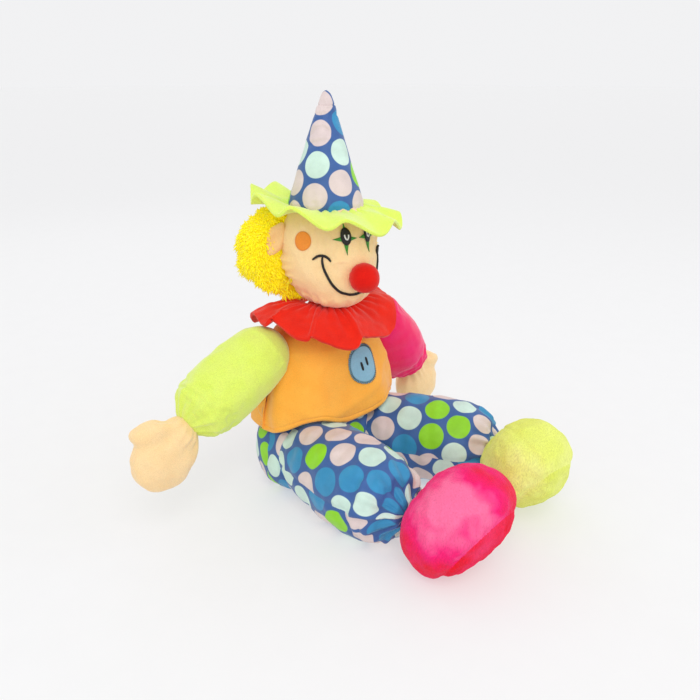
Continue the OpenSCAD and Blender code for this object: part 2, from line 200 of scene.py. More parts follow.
def movePoints(piece, way, amount):
    # amount in mm along way, one value per point
    co = readPoints(piece) + way * (np.asarray(amount) * mm)[:, None]
    writePoints(piece, co)


def outFromAxis(co):
    a = np.arctan2(co[:, 1], co[:, 0])
    return np.stack([np.cos(a), np.sin(a), 0 * a], 1)


def angleFrom(a, middle):
    # signed angle away from middle
    return (a - middle + math.pi) % tau - math.pi


def hump(x, width):
    # 1 at the middle, dying away about a width to each side
    return np.exp(-(x / width) ** 2)


def bakeModifiers(piece):
    graph = bpy.context.evaluated_depsgraph_get()
    mesh = bpy.data.meshes.new_from_object(piece.evaluated_get(graph), depsgraph=graph)
    piece.modifiers.clear()
    old = piece.data
    piece.data = mesh
    bpy.data.meshes.remove(old)
    return piece


def addSubdivision(piece):
    m = piece.modifiers.new("finer", "SUBSURF")
    m.levels = m.render_levels = 1
    return bakeModifiers(piece)


def thicken(piece, thickness):
    m = piece.modifiers.new("thickness", "SOLIDIFY")
    m.thickness = thickness
    m.offset = 0
    return bakeModifiers(piece)


def remesh(piece, voxel, smoothing):
    m = piece.modifiers.new("skin", "REMESH")
    m.mode = "VOXEL"
    m.voxel_size = voxel
    m.use_smooth_shade = True
    s = piece.modifiers.new("soften", "SMOOTH")
    s.factor = 0.5
    s.iterations = smoothing
    return bakeModifiers(piece)


def stuff(piece, held, pressure, grow, cap, frames):
    # blows the cover up like stuffed cloth; held is 0 to 1 per point, 1 stays where it's sewn
    scene = bpy.context.scene
    start = readPoints(piece)
    group = piece.vertex_groups.new(name="sewn")
    for i, w in enumerate(held):
        if w > 0.01:
            group.add([i], float(w), "REPLACE")
    m = piece.modifiers.new("stuffing", "CLOTH")
    s = m.settings
    s.quality = 5
    s.mass = 0.2
    s.tension_stiffness = s.compression_stiffness = 12
    s.shear_stiffness = 4
    s.bending_stiffness = 0.3
    s.use_pressure = True
    s.uniform_pressure_force = pressure
    s.vertex_group_mass = "sewn"
    s.shrink_min = -grow
    s.effector_weights.gravity = 0
    m.collision_settings.use_collision = False
    m.point_cache.frame_start = 1
    m.point_cache.frame_end = frames
    for f in range(1, frames + 1):
        scene.frame_set(f)
    graph = bpy.context.evaluated_depsgraph_get()
    swollen = bpy.data.meshes.new_from_object(piece.evaluated_get(graph), depsgraph=graph)
    co = np.empty(len(swollen.vertices) * 3)
    swollen.vertices.foreach_get("co", co)
    co = co.reshape(-1, 3)
    bpy.data.meshes.remove(swollen)
    piece.modifiers.remove(m)
    piece.vertex_groups.clear()
    scene.frame_set(1)
    if len(co) == len(start) and np.isfinite(co).all():
        move = co - start
        size = np.linalg.norm(move, axis=1, keepdims=True)
        writePoints(piece, start + move * np.minimum(1, cap / np.maximum(size, 1e-9)))
    return piece


def keepAboveFloor(piece, floor=0.4 * mm, ease=4 * mm):
    co = readPoints(piece)
    low = co[:, 2] < floor + ease
    co[low, 2] = floor + ease * np.exp((co[low, 2] - floor - ease) / ease)
    writePoints(piece, co)


def joinPieces(name, parts):
    verts, faces = [], []
    for part in parts:
        shift = len(verts)
        verts += [tuple(part.matrix_world @ v.co) for v in part.data.vertices]
        faces += [tuple(i + shift for i in p.vertices) for p in part.data.polygons]
        bpy.data.objects.remove(part)
    return newPiece(name, verts, faces)


def ballPoints(radii, rows=24, around=36):
    a = np.linspace(0, math.pi, rows + 2)[1:-1]
    t = np.linspace(0, tau, around, endpoint=False)
    polar, turn = np.meshgrid(a, t, indexing="ij")
    x, y = radii[0] * np.sin(polar) * np.cos(turn), radii[1] * np.sin(polar) * np.sin(turn)
    return np.stack([x, y, -radii[2] * np.cos(polar)], 2)


def tubeAlong(name, path, radius, around, ripple=None):
    # a thread or sewn tape along a list of points
    path = np.array(path, float)
    n = len(path)
    tangent = np.gradient(path, axis=0)
    tangent /= np.linalg.norm(tangent, axis=1, keepdims=True)
    hint = np.array([0.13, 0.31, 0.94])
    u = np.cross(tangent, hint)
    u /= np.linalg.norm(u, axis=1, keepdims=True)
    v = np.cross(tangent, u)
    t = np.linspace(0, tau, around, endpoint=False)
    r = np.full((n, around), radius, float)
    if ripple is not None:
        r = r * ripple(np.arange(n)[:, None], t[None, :])
    out = np.cos(t)[None, :, None] * u[:, None] + np.sin(t)[None, :, None] * v[:, None]
    return ringMesh(name, path[:, None] + r[..., None] * out)


# cloth finishes

socketNames = {
    "roughness": "Roughness", "sheen": "Sheen Weight",
    "sheenRoughness": "Sheen Roughness", "sheenTint": "Sheen Tint",
    "gloss": "Specular IOR Level", "glowColour": "Emission Color", "glow": "Emission Strength",
    "depth": "Subsurface Weight", "depthReach": "Subsurface Radius", "depthScale": "Subsurface Scale",
}


def newFinish(name):
    finish = bpy.data.materials.new(name)
    finish.use_nodes = True
    nodes = finish.node_tree.nodes
    nodes.clear()
    out = nodes.new("ShaderNodeOutputMaterial")
    shader = nodes.new("ShaderNodeBsdfPrincipled")
    finish.node_tree.links.new(shader.outputs[0], out.inputs[0])
    return finish, finish.node_tree, shader


def setSockets(shader, **values):
    for name, value in values.items():
        shader.inputs[socketNames[name]].default_value = value


def addNode(tree, kind, inputs=(), **settings):
    node = tree.nodes.new(kind)
    for key, value in settings.items():
        setattr(node, key, value)
    for place, value in dict(inputs).items():
        if isinstance(value, bpy.types.NodeSocket):
            tree.links.new(value, node.inputs[place])
        else:
            node.inputs[place].default_value = value
    return node


def addMath(tree, operation, a, b=0.0):
    return addNode(tree, "ShaderNodeMath", {0: a, 1: b}, operation=operation).outputs[0]


def addVector(tree, operation, a, b=(0, 0, 0)):
    node = addNode(tree, "ShaderNodeVectorMath", {0: a, 1: b}, operation=operation)
    return node.outputs["Value"] if operation in ("LENGTH", "DISTANCE", "DOT_PRODUCT") else node.outputs[0]


def addNoise(tree, where, scale, detail=3.0, rough=0.55):
    inputs = {"Vector": where, "Scale": scale, "Detail": detail, "Roughness": rough}
    return addNode(tree, "ShaderNodeTexNoise", inputs)


def mixColour(tree, amount, a, b, way="MIX"):
    node = addNode(tree, "ShaderNodeMix", data_type="RGBA", blend_type=way)
    for place, value in ((0, amount), (6, a), (7, b)):
        if isinstance(value, bpy.types.NodeSocket):
            tree.links.new(value, node.inputs[place])
        else:
            node.inputs[place].default_value = (*value[:3], 1) if place else value
    return node.outputs[2]


def stretchRange(tree, value, low, high, outLow=0.0, outHigh=1.0):
    return addNode(tree, "ShaderNodeMapRange", {0: value, 1: low, 2: high, 3: outLow, 4: outHigh}).outputs[0]


def paintSpeckled(tree, shader, base, speckle):
    # fibres darken and lighten the base colour
    grey = addNode(tree, "ShaderNodeCombineColor", {0: speckle, 1: speckle, 2: speckle}).outputs[0]
    tree.links.new(mixColour(tree, 1.0, base, grey, "MULTIPLY"), shader.inputs["Base Color"])


def addRelief(tree, shader, height, strength, distance):
    bump = addNode(tree, "ShaderNodeBump", {"Height": height, "Strength": strength, "Distance": distance})
    tree.links.new(bump.outputs[0], shader.inputs["Normal"])


def clothFinish(name, colour, shade, sheen=0.35, fibre=1400, fibreDepth=0.35, lumps=60, depth=0.0, glow=None):
    # fleece, jersey or velour: uneven dye, fine fibres and a soft sheen
    finish, tree, shader = newFinish(name)
    where = addNode(tree, "ShaderNodeTexCoord").outputs["Object"]
    broad = addNoise(tree, where, lumps, 4).outputs["Fac"]
    fine = addNoise(tree, where, fibre, 2, 0.7).outputs["Fac"]
    medium = addNoise(tree, where, fibre * 0.22, 3, 0.6).outputs["Fac"]
    base = mixColour(tree, addMath(tree, "MULTIPLY", stretchRange(tree, broad, 0.35, 0.68), 0.5), colour, shade)
    paintSpeckled(tree, shader, base, stretchRange(tree, fine, 0.3, 0.7, 0.86, 1.08))
    height = addMath(tree, "ADD", addMath(tree, "MULTIPLY", fine, 0.6), medium)
    addRelief(tree, shader, height, fibreDepth, 0.7 * mm)
    setSockets(shader, roughness=0.9, sheen=sheen, sheenRoughness=0.45, sheenTint=(1, 1, 1, 1), gloss=0.15)
    if glow:  # painted light: the part glows, though it is no lamp, to lift its own shade
        setSockets(shader, glowColour=(*glow[:3], 1), glow=glow[3])
    if depth:
        setSockets(shader, depth=depth, depthReach=(0.01, 0.006, 0.004), depthScale=0.3)
    return finish


def plushFinish(name, colour, litNap, deep, lumps, paintedHighlightSpot=None):
    # short pile brushed in patches: the nap colour is painted highlight, paler where the pile leans to the light;
    # the deep colour is darker pile
    finish, tree, shader = newFinish(name)
    where = addNode(tree, "ShaderNodeTexCoord").outputs["Object"]
    warp = addNoise(tree, where, 45, 2).outputs["Color"]
    bent = addVector(tree, "ADD", where, addVector(tree, "MULTIPLY", warp, (0.012, 0.012, 0.012)))
    broad = addNoise(tree, bent, lumps, 3, 0.6).outputs["Fac"]
    if paintedHighlightSpot is not None:
        # painted highlight: paler pile near a spot, and painted shade, more deep pile, away from it
        centre, reach, weight = paintedHighlightSpot
        away = addVector(tree, "DISTANCE", where, centre)
        near = stretchRange(tree, away, reach * 0.45, reach * 1.15, weight, -weight * 0.6)
        broad = addMath(tree, "ADD", broad, near)
    pileLines = addNoise(tree, addVector(tree, "MULTIPLY", bent, (1, 1, 0.35)), 900, 3, 0.7).outputs["Fac"]
    amount = stretchRange(tree, broad, 0.47, 0.66)
    low = stretchRange(tree, broad, 0.5, 0.28)
    base = mixColour(tree, amount, mixColour(tree, low, colour, deep), litNap)
    paintSpeckled(tree, shader, base, stretchRange(tree, pileLines, 0.3, 0.7, 0.8, 1.12))
    height = addMath(tree, "ADD", pileLines, addMath(tree, "MULTIPLY", broad, 1.2))
    addRelief(tree, shader, height, 0.55, 1.2 * mm)
    setSockets(shader, roughness=0.85, sheen=0.6, sheenRoughness=0.4, sheenTint=(*litNap, 1), gloss=0.1)
    return finish


def threadFinish(name, colour, roughness=0.5):
    # shiny embroidery thread in close rows
    finish, tree, shader = newFinish(name)
    where = addNode(tree, "ShaderNodeTexCoord").outputs["Object"]
    wave = {"Vector": where, "Scale": 420.0, "Distortion": 2.5}
    rows = addNode(tree, "ShaderNodeTexWave", wave, bands_direction="DIAGONAL").outputs["Fac"]
    fuzz = addNoise(tree, where, 1500, 2).outputs["Fac"]
    paintSpeckled(tree, shader, colour, stretchRange(tree, rows, 0, 1, 0.65, 1.15))
    addRelief(tree, shader, addMath(tree, "ADD", rows, fuzz), 0.5, 0.4 * mm)
    setSockets(shader, roughness=roughness, gloss=0.4)
    return finish


dotPrint = {  # dotted cloth of hat and trousers
    "pitch": 30.5 * mm, "dotRadius": 0.425,
    "ground": (0.040, 0.115, 0.34),
    "dots": ((0.72, 0.60, 0.585), (0.60, 0.79, 0.70), (0.030, 0.27, 0.52), (0.27, 0.67, 0.016)),
    "shares": (0.0, 0.36, 0.68, 0.87),
}


def printFinish(name, seed=0.0):
    c = dotPrint
    finish, tree, shader = newFinish(name)
    uv = addNode(tree, "ShaderNodeUVMap", uv_map="clothUv").outputs[0]
    where = addNode(tree, "ShaderNodeTexCoord").outputs["Object"]
    p = addVector(tree, "MULTIPLY", uv, (1 / c["pitch"], 1 / c["pitch"], 0))
    wobble = addVector(tree, "SUBTRACT", addNoise(tree, p, 0.9, 1).outputs["Color"], (0.5, 0.5, 0.5))
    p = addVector(tree, "ADD", p, addVector(tree, "MULTIPLY", wobble, (0.03, 0.03, 0)))
    cell = (1.0, math.sqrt(3), 1.0)
    found = []
    for shift in ((0.0, 0.0, 0.0), (0.5, math.sqrt(3) / 2, 0.0)):
        q = addVector(tree, "DIVIDE", addVector(tree, "SUBTRACT", p, shift), cell)
        q = addVector(tree, "FLOOR", addVector(tree, "ADD", q, (0.5, 0.5, 0.5)))
        centre = addVector(tree, "ADD", addVector(tree, "MULTIPLY", q, cell), shift)
        centre = addVector(tree, "MULTIPLY", centre, (1, 1, 0))
        flat = addVector(tree, "MULTIPLY", p, (1, 1, 0))
        found.append((centre, addVector(tree, "DISTANCE", flat, centre)))
    second = addMath(tree, "LESS_THAN", found[1][1], found[0][1])
    nearest = addMath(tree, "MINIMUM", found[0][1], found[1][1])
    pick = addNode(tree, "ShaderNodeMix", data_type="VECTOR")
    tree.links.new(second, pick.inputs[0])
    tree.links.new(found[0][0], pick.inputs[4])
    tree.links.new(found[1][0], pick.inputs[5])
    scattered = addVector(tree, "MULTIPLY", pick.outputs[1], (3.17, 2.71, 1))
    scattered = addVector(tree, "ADD", scattered, (seed, seed * 0.7, 0.5))
    chance = addNode(tree, "ShaderNodeTexWhiteNoise", {"Vector": scattered}, noise_dimensions="3D")
    ramp = addNode(tree, "ShaderNodeValToRGB", {0: chance.outputs["Value"]})
    ramp.color_ramp.interpolation = "CONSTANT"
    while len(ramp.color_ramp.elements) < 4:
        ramp.color_ramp.elements.new(0.9)
    for element, place, colour in zip(ramp.color_ramp.elements, c["shares"], c["dots"]):
        element.position = place
        element.color = (*colour, 1)
    mask = stretchRange(tree, nearest, c["dotRadius"] + 0.012, c["dotRadius"] - 0.012)
    printed = mixColour(tree, mask, c["ground"], ramp.outputs[0])
    fade = addNoise(tree, where, 55, 3).outputs["Fac"]
    weave = addNoise(tree, uv, 1700, 2, 0.7).outputs["Fac"]
    worn = stretchRange(tree, fade, 0.3, 0.7, 0.88, 1.06)
    woven = stretchRange(tree, weave, 0.3, 0.7, 0.93, 1.05)
    paintSpeckled(tree, shader, printed, addMath(tree, "MULTIPLY", worn, woven))
    crease = addNoise(tree, where, 130, 3, 0.5).outputs["Fac"]
    addRelief(tree, shader, addMath(tree, "ADD", addMath(tree, "MULTIPLY", weave, 0.12), crease), 0.22, 1.4 * mm)
    setSockets(shader, roughness=0.52, gloss=0.35, sheen=0.12)
    return finish


# each cloth: main colour, shade, then how it differs from plain cloth
cloths = {
    "orangeJersey": ((1.0, 0.47, 0.07), (1.0, 0.40, 0.045), {"sheen": 0.3, "fibre": 1500}),
    "limeFleece": ((0.70, 0.85, 0.13), (0.74, 0.87, 0.20),
                   {"sheen": 0.45, "fibre": 1100, "fibreDepth": 0.4, "depth": 0.1}),
    "brimFleece": ((0.72, 0.90, 0.12), (0.78, 0.92, 0.22),
                   {"sheen": 0.45, "fibre": 1100, "fibreDepth": 0.4, "depth": 0.15}),
    "pinkJersey": ((0.90, 0.012, 0.12), (0.93, 0.03, 0.24), {"sheen": 0.4, "fibre": 1300, "lumps": 30}),
    "redFleece": ((0.83, 0.020, 0.006), (0.66, 0.010, 0.004), {"sheen": 0.25, "fibre": 1200, "fibreDepth": 0.4}),
    "nosePlush": ((0.74, 0.010, 0.004), (0.60, 0.004, 0.003), {"sheen": 0.2, "fibre": 1300, "lumps": 90}),
    "peachVelour": ((0.95, 0.69, 0.37), (0.93, 0.63, 0.30), {"sheen": 0.4, "fibre": 1500, "depth": 0.12}),
    "earVelour": ((0.95, 0.62, 0.30), (0.90, 0.53, 0.21), {"sheen": 0.4, "fibre": 1500}),
    "yellowPile": ((1.0, 0.87, 0.012), (1.0, 0.80, 0.004),
                   {"sheen": 0.3, "lumps": 80, "fibreDepth": 0.4, "depth": 0.2}),
    # the tufts: a brighter copy of the pile that glows, painted light against the shade between the thin tufts
    "litYellowTufts": ((1.0, 0.89, 0.02), (1.0, 0.83, 0.008),
                    {"sheen": 0.2, "lumps": 80, "fibreDepth": 0.1, "glow": (1.0, 0.78, 0.0, 0.22)}),
    "patchFelt": ((0.24, 0.47, 0.62), (0.30, 0.52, 0.66), {"sheen": 0.3, "fibre": 1000}),
    "cheekFelt": ((0.87, 0.29, 0.045), (0.80, 0.24, 0.03), {"sheen": 0.3, "fibre": 1000}),
    "liningCloth": ((0.72, 0.70, 0.64), (0.62, 0.60, 0.54), {"sheen": 0.1, "fibre": 1800}),
    "ringCloth": ((0.030, 0.095, 0.285), (0.022, 0.07, 0.22), {"sheen": 0.1}),
}
threads = {
    "blackThread": ((0.010, 0.010, 0.012), 0.5),
    "greenThread": ((0.045, 0.30, 0.03), 0.45),
    "whiteThread": ((0.85, 0.85, 0.85), 0.45),
    "patchThread": ((0.12, 0.22, 0.26), 0.5),
}
# each plush: colour, brushed nap painted paler (painted highlight), deep pile, size of the patches, and a painted
# highlight spot where the nap leans to the light
plushes = {
    "pinkPlush": ((0.93, 0.018, 0.20), (1.0, 0.17, 0.36), (0.86, 0.012, 0.035), 17,
                  # painted highlight on the pink shoe's upper, with painted shade away from it
                  ((-0.085, -0.225, 0.085), 0.055, 0.19)),
    "limePlush": ((0.82, 0.89, 0.20), (0.88, 0.93, 0.31), (0.75, 0.83, 0.13), 15),
    # the soles: darker copies of the plushes, partly deeper pile and partly painted shade for the sole, which faces
    # down
    "pinkSoleShaded": ((0.86, 0.014, 0.045), (0.94, 0.05, 0.16), (0.80, 0.010, 0.020), 16),
    "limeSoleShaded": ((0.76, 0.84, 0.15), (0.84, 0.90, 0.26), (0.68, 0.77, 0.10), 16),
}
finishes = {name: clothFinish(name, colour, shade, **other) for name, (colour, shade, other) in cloths.items()}
finishes |= {name: threadFinish(name, *values) for name, values in threads.items()}
finishes |= {name: plushFinish(name, *values) for name, values in plushes.items()}
finishes |= {"dotCloth": printFinish("dotCloth"), "hatDotCloth": printFinish("hatDotCloth", 5.3)}


def setFinish(piece, name, slot=None):
    piece.data.materials.clear()
    piece.data.materials.append(finishes[name])


def printUv(centreRadius, alongOf, startAngle, around, slip=0.0115):
    # two cloth halves meet at two seams, so the dots don't run on across them
    def uvOf(i, j, cell):
        half = 0 if cell < around // 2 else 1
        u = tau * j / around * centreRadius + startAngle
        return (u + half * slip, alongOf[min(i, len(alongOf) - 1)] + half * slip * 0.8)
    return uvOf


# trousers: legs

legShape = {
    # distance along the leg from the hip, then radius
    "profile": [(-39, 4), (-34, 20), (-24, 31), (-10, 38), (8, 41), (30, 43.5), (55, 45), (80, 45.5), (100, 44),
                (115, 40), (126, 34), (134, 27), (140, 20.5), (144, 16), (147, 13)],
    "pleats": 13, "pleatDepth": 0.17, "around": 104, "rows": 84, "length": 147,
}


def sampleProfile(profile, rows):
    z = np.array([p[0] for p in profile], float)
    r = np.array([p[1] for p in profile], float)
    step = np.concatenate([[0], np.cumsum(np.hypot(np.diff(z), np.diff(r)))])
    t = np.linspace(0, step[-1], rows)
    # smooth the straight pieces into one curve
    zz, rr = np.interp(t, step, z), np.interp(t, step, r)
    for _ in range(2):
        zz[1:-1] = (zz[:-2] + 2 * zz[1:-1] + zz[2:]) / 4
        rr[1:-1] = (rr[:-2] + 2 * rr[1:-1] + rr[2:]) / 4
    return zz, rr, t


def latheGrid(shape):
    # the profile turned round its axis: heights, angles, radii and the way along the cloth
    zz, rr, t = sampleProfile(shape["profile"], shape["rows"])
    height, angle = np.meshgrid(zz, np.linspace(0, tau, shape["around"], endpoint=False), indexing="ij")
    return height, angle, np.repeat(rr[:, None], shape["around"], 1), t


def limbRings(shape, seed):
    height, angle, radius, t = latheGrid(shape)
    length = shape["length"]
    rng = np.random.RandomState(seed)
    wander = sum(rng.uniform(0.3, 1) / k * np.sin(k * angle + rng.uniform(0, tau) + 0.012 * height) for k in (1, 2, 3, 5))
    gather = easeStep(height, length * 0.66, length * 0.96) * (1 - 0.35 * easeStep(height, length * 0.97, length))
    n = shape["pleats"]
    wave = np.sin(n * angle + 1.4 * wander) + 0.45 * np.sin((n * 2 - 3) * angle + 2.1 * wander)
    radius = radius * (1 + shape["pleatDepth"] * gather * (wave * 0.5 - 0.25))
    return np.stack([radius * np.cos(angle), radius * np.sin(angle), height], 2) * mm, t * mm


def makeLeg(side, seed):
    hip, ankle = jointAt["hip_lift_" + side], jointAt["ankle_flex_" + side]
    place = localFrame(hip, ankle - hip)
    points, t = limbRings(legShape, seed)
    uvOf = printUv(44 * mm, t, 0.2 if side == "right" else 0.113, legShape["around"])
    leg = ringMesh("trouserLeg_" + side, points, uvOf)
    z = readPoints(leg)[:, 2] / mm
    held = np.clip(easeStep(z, 132, 146) + easeStep(z, 0, -25), 0, 1)
    stuff(leg, held, pressure=3.2, grow=0.05, cap=4.5 * mm, frames=16)
    co = readPoints(leg)
    z, a = co[:, 2] / mm, np.arctan2(co[:, 1], co[:, 0])
    crease = clothNoise(co * (1, 1, 1.7), 38 * mm, seed + 5) + clothNoise(co, 17 * mm, seed + 9) * 0.35
    middle = easeStep(z, -15, 10) * (1 - 0.6 * easeStep(z, 128, 146))
    seamLine = hump(angleFrom(a, 0), 0.055) + hump(angleFrom(a, math.pi), 0.055)
    movePoints(leg, outFromAxis(co), crease * middle - 1.6 * seamLine * easeStep(z, -20, 20))
    writePoints(leg, toWorld(readPoints(leg), place))
    addSubdivision(leg)
    keepAboveFloor(leg)
    setFinish(leg, "dotCloth", "dot_print")
    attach(leg, "leg_" + side)
    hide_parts("trouser_leg_" + side, "leg_stuffing_" + side, "ankle_elastic_" + side)


for n, side in enumerate(sides):
    makeLeg(side, 11 + 6 * n)
print("legs made")


# trousers: seat

seatShape = {
    "width": 160, "depth": 108, "around": 120, "rows": 60,
    "profile": [(0.4, 8), (0.4, 40), (0.6, 62), (4, 71), (12, 76.5), (24, 79.5), (38, 80.5), (52, 79), (64, 76),
                (74, 70), (83, 60), (89, 42), (92, 20), (92.5, 4)],
}


def makeSeat():
    c = seatShape
    height, angle, radius, t = latheGrid(c)
    flat = c["depth"] / c["width"]
    boxy = (np.abs(np.cos(angle)) ** 2.5 + np.abs(np.sin(angle)) ** 2.5) ** (-1 / 2.5)
    across, deep = radius * boxy * np.cos(angle), radius * boxy * np.sin(angle) * flat
    front = easeStep(-np.sin(angle), 0.2, 0.9) * easeStep(height, 2, 20) * (1 - easeStep(height, 62, 88))
    deep = deep + 2 + 2 * front
    points = np.stack([across, deep, height], 2) * mm
    uvOf = printUv(78 * mm, t * mm, 0.31, c["around"])
    seat = ringMesh("trousersSeat", points, uvOf)
    z = readPoints(seat)[:, 2] / mm
    held = np.clip(easeStep(z, 12, 2) + easeStep(z, 72, 86), 0, 1)
    stuff(seat, held, pressure=2.5, grow=0.04, cap=3.5 * mm, frames=14)
    co = readPoints(seat)
    lumps = clothNoise(co, 42 * mm, 71) * 1.3 + clothNoise(co, 18 * mm, 72) * 0.45
    movePoints(seat, pointNormals(seat), lumps * easeStep(co[:, 2] / mm, 2, 16))
    addSubdivision(seat)
    keepAboveFloor(seat, 0.0)
    setFinish(seat, "dotCloth", "dot_print")
    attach(seat, "seat")
    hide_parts("trousers_seat", "seat_stuffing", "waist_elastic")


makeSeat()
print("seat made")


# shoes

shoeShape = {
    "length": 113, "width": 90, "thick": 84, "around": 96, "rows": 64,
    "soleAt": 0.62,  # share of the half thickness where the sole's seam runs
    "toe": {"right": (0.66, -0.36, 0.66), "left": (-0.6, -0.42, 0.68)},
    "finish": {"right": ("pinkPlush", "pink_plush", "pinkSoleShaded"), "left": ("limePlush", "lime_plush", "limeSoleShaded")},
}


def shoePlace(side):
    low, high = (np.array(v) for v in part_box("shoe_stuffing_" + side))
    toe = unitVector(shoeShape["toe"][side])
    raw = np.array((-outward[side] * 0.1, -0.85, -0.5))
    sole = unitVector(raw - toe * (raw @ toe))
    across = np.cross(toe, sole)
    return (low + high) / 2, np.stack([across, toe, sole], 1)


def makeShoe(side, seed):
    c = shoeShape
    place = shoePlace(side)
    a = np.linspace(0, math.pi, c["rows"] + 2)[1:-1]
    t = np.linspace(0, tau, c["around"], endpoint=False)
    polar, angle = np.meshgrid(a, t, indexing="ij")
    # z runs from the instep to the sole, y to the toe
    up = -np.cos(polar)
    r = np.sin(polar) ** 0.86
    x = c["width"] / 2 * r * np.cos(angle)
    y = c["length"] / 2 * r * np.sin(angle)
    z = c["thick"] / 2 * up
    heel = easeStep(-y, 5, 50)
    x = x * (1 - 0.10 * heel)
    x = x * (1 + 0.06 * easeStep(y, 0, 40))
    edge = c["soleAt"]
    z = np.where(up > edge, c["thick"] / 2 * (edge + (up - edge) * 0.55), z)
    z = z - 3
    seamZ = c["thick"] / 2 * edge - 3
    shell = np.stack([x, y, z], 2) * mm
    shoe = ringMesh("shoe_" + side, shell)
    held = hump(readPoints(shoe)[:, 2] / mm - seamZ, 3.5)
    stuff(shoe, held, pressure=3, grow=0.03, cap=3 * mm, frames=14)
    co = readPoints(shoe)
    x, fromSeam = co[:, 0] / mm, co[:, 2] / mm - seamZ
    middleSeam = hump(x, 1.6) * easeStep(-co[:, 2] / mm, -20, -5)
    lumps = clothNoise(co, 40 * mm, seed) * 1.2 + clothNoise(co, 15 * mm, seed + 1) * 0.5
    pucker = np.sin(np.arctan2(co[:, 1], co[:, 0]) * 46) * hump(fromSeam, 6)
    movePoints(shoe, pointNormals(shoe), lumps - 1.9 * hump(fromSeam, 1.7) - 1.3 * middleSeam + 0.35 * pucker)
    writePoints(shoe, toWorld(readPoints(shoe), place))
    addSubdivision(shoe)
    # short pile makes the outline slightly rough
    movePoints(shoe, pointNormals(shoe), clothNoise(readPoints(shoe), 3.2 * mm, seed + 3, 30) * 0.10)
    keepAboveFloor(shoe)
    upperFinish, slot, soleFinish = c["finish"][side]
    setFinish(shoe, upperFinish, slot)
    # the sole is its own panel of deeper pile, inside the seam; its darker colour is partly painted shade, as the
    # sole faces down
    shoe.data.materials.append(finishes[soleFinish])
    origin, axes = place
    height = (readPoints(shoe) - origin) @ axes[:, 2] / mm
    for face in shoe.data.polygons:
        if height[list(face.vertices)].mean() > seamZ:
            face.material_index = 1
    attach(shoe, "shoe_" + side)
    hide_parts("shoe_upper_" + side, "shoe_sole_" + side, "shoe_stuffing_" + side)


for n, side in enumerate(sides):
    makeShoe(side, 31 + 7 * n)
print("shoes made")


# sleeves

sleeveShape = {
    "profile": [(-34, 3), (-30, 15), (-22, 24), (-10, 30.5), (6, 32.5), (24, 33.5), (44, 34.5), (60, 34.5), (74, 33),
                (84, 29), (91, 23.5), (96, 18), (99, 14), (101, 11)],
    "pleats": 12, "pleatDepth": 0.15, "around": 96, "rows": 72, "length": 101,
    "finish": {"right": ("limeFleece", "lime_fleece"), "left": ("pinkJersey", "pink_jersey")},
}


def makeSleeve(side, seed):
    shoulder, wrist = jointAt["shoulder_raise_" + side], jointAt["wrist_bend_" + side]
    place = localFrame(shoulder, wrist - shoulder, (0, 1, 0))
    sleeve = ringMesh("sleeve_" + side, limbRings(sleeveShape, seed)[0])
    z = readPoints(sleeve)[:, 2] / mm
    held = np.clip(easeStep(z, 88, 99) + easeStep(z, -5, -25), 0, 1)
    stuff(sleeve, held, pressure=3, grow=0.04, cap=3 * mm, frames=14)
    co = readPoints(sleeve)
    crease = clothNoise(co * (1, 1, 1.4), 34 * mm, seed + 5) * 0.8 + clothNoise(co, 14 * mm, seed + 9) * 0.25
    movePoints(sleeve, outFromAxis(co), crease * easeStep(co[:, 2] / mm, -15, 10))
    writePoints(sleeve, toWorld(readPoints(sleeve), place))
    addSubdivision(sleeve)
    setFinish(sleeve, *sleeveShape["finish"][side])
    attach(sleeve, "arm_" + side)
    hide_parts("sleeve_" + side, "arm_stuffing_" + side, "cuff_elastic_" + side)


for n, side in enumerate(sides):
    makeSleeve(side, 51 + 8 * n)
print("sleeves made")


# hands

handShape = {
    "palm": (33, 18, 31), "thumb": (11.5, 12.5, 21), "wristRadius": 19,
    "points": {"right": (-0.69, 0, -0.72), "left": (0.52, 0.05, -0.85)},
}


def makeHand(side, seed):
    c = handShape
    wrist = jointAt["wrist_bend_" + side]
    place = localFrame(wrist, c["points"][side], (0, 1, 0))
    inside = outward[side]

    def lump(centre, radii, turn=0):
        p = ballPoints(radii)
        return ringMesh("lump", (p.reshape(-1, 3) @ tiltAcross(turn).T + np.array(centre)).reshape(p.shape) * mm)

    palm, wristBall = lump((0, 0, 38), c["palm"]), lump((0, 0, 13), (c["wristRadius"], 16, 20))
    thumb, heel = lump((-28 * inside, 0, 23), c["thumb"], -0.95 * inside), lump((8 * inside, 0, 30), (24, 17, 26))
    hand = joinPieces("hand_" + side, [palm, wristBall, thumb, heel])
    remesh(hand, 2.6 * mm, 10)
    co = readPoints(hand)
    seam = hump(co[:, 1] / mm, 2.2) * easeStep(co[:, 2] / mm, 4, 16)
    stuff(hand, easeStep(co[:, 2] / mm, 8, -2), pressure=2.5, grow=0.03, cap=2.5 * mm, frames=12)
    co = readPoints(hand)
    lumps = clothNoise(co, 26 * mm, seed) * 0.8 + clothNoise(co, 11 * mm, seed + 2) * 0.25
    pleats = np.arctan2(co[:, 1], co[:, 0]) * 11 + clothNoise(co, 30 * mm, seed + 4)
    gather = np.sin(pleats) * (1 - easeStep(co[:, 2] / mm, 8, 30)) * 1.1
    movePoints(hand, pointNormals(hand), lumps * 0.8 - 0.9 * seam + gather)
    writePoints(hand, toWorld(readPoints(hand), place))
    addSubdivision(hand)
    setFinish(hand, "peachVelour", "peach_velour")
    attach(hand, "mitten_" + side)
    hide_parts("hand_" + side, "hand_stuffing_" + side)


for n, side in enumerate(sides):
    makeHand(side, 91 + 5 * n)
print("hands made")


# shirt

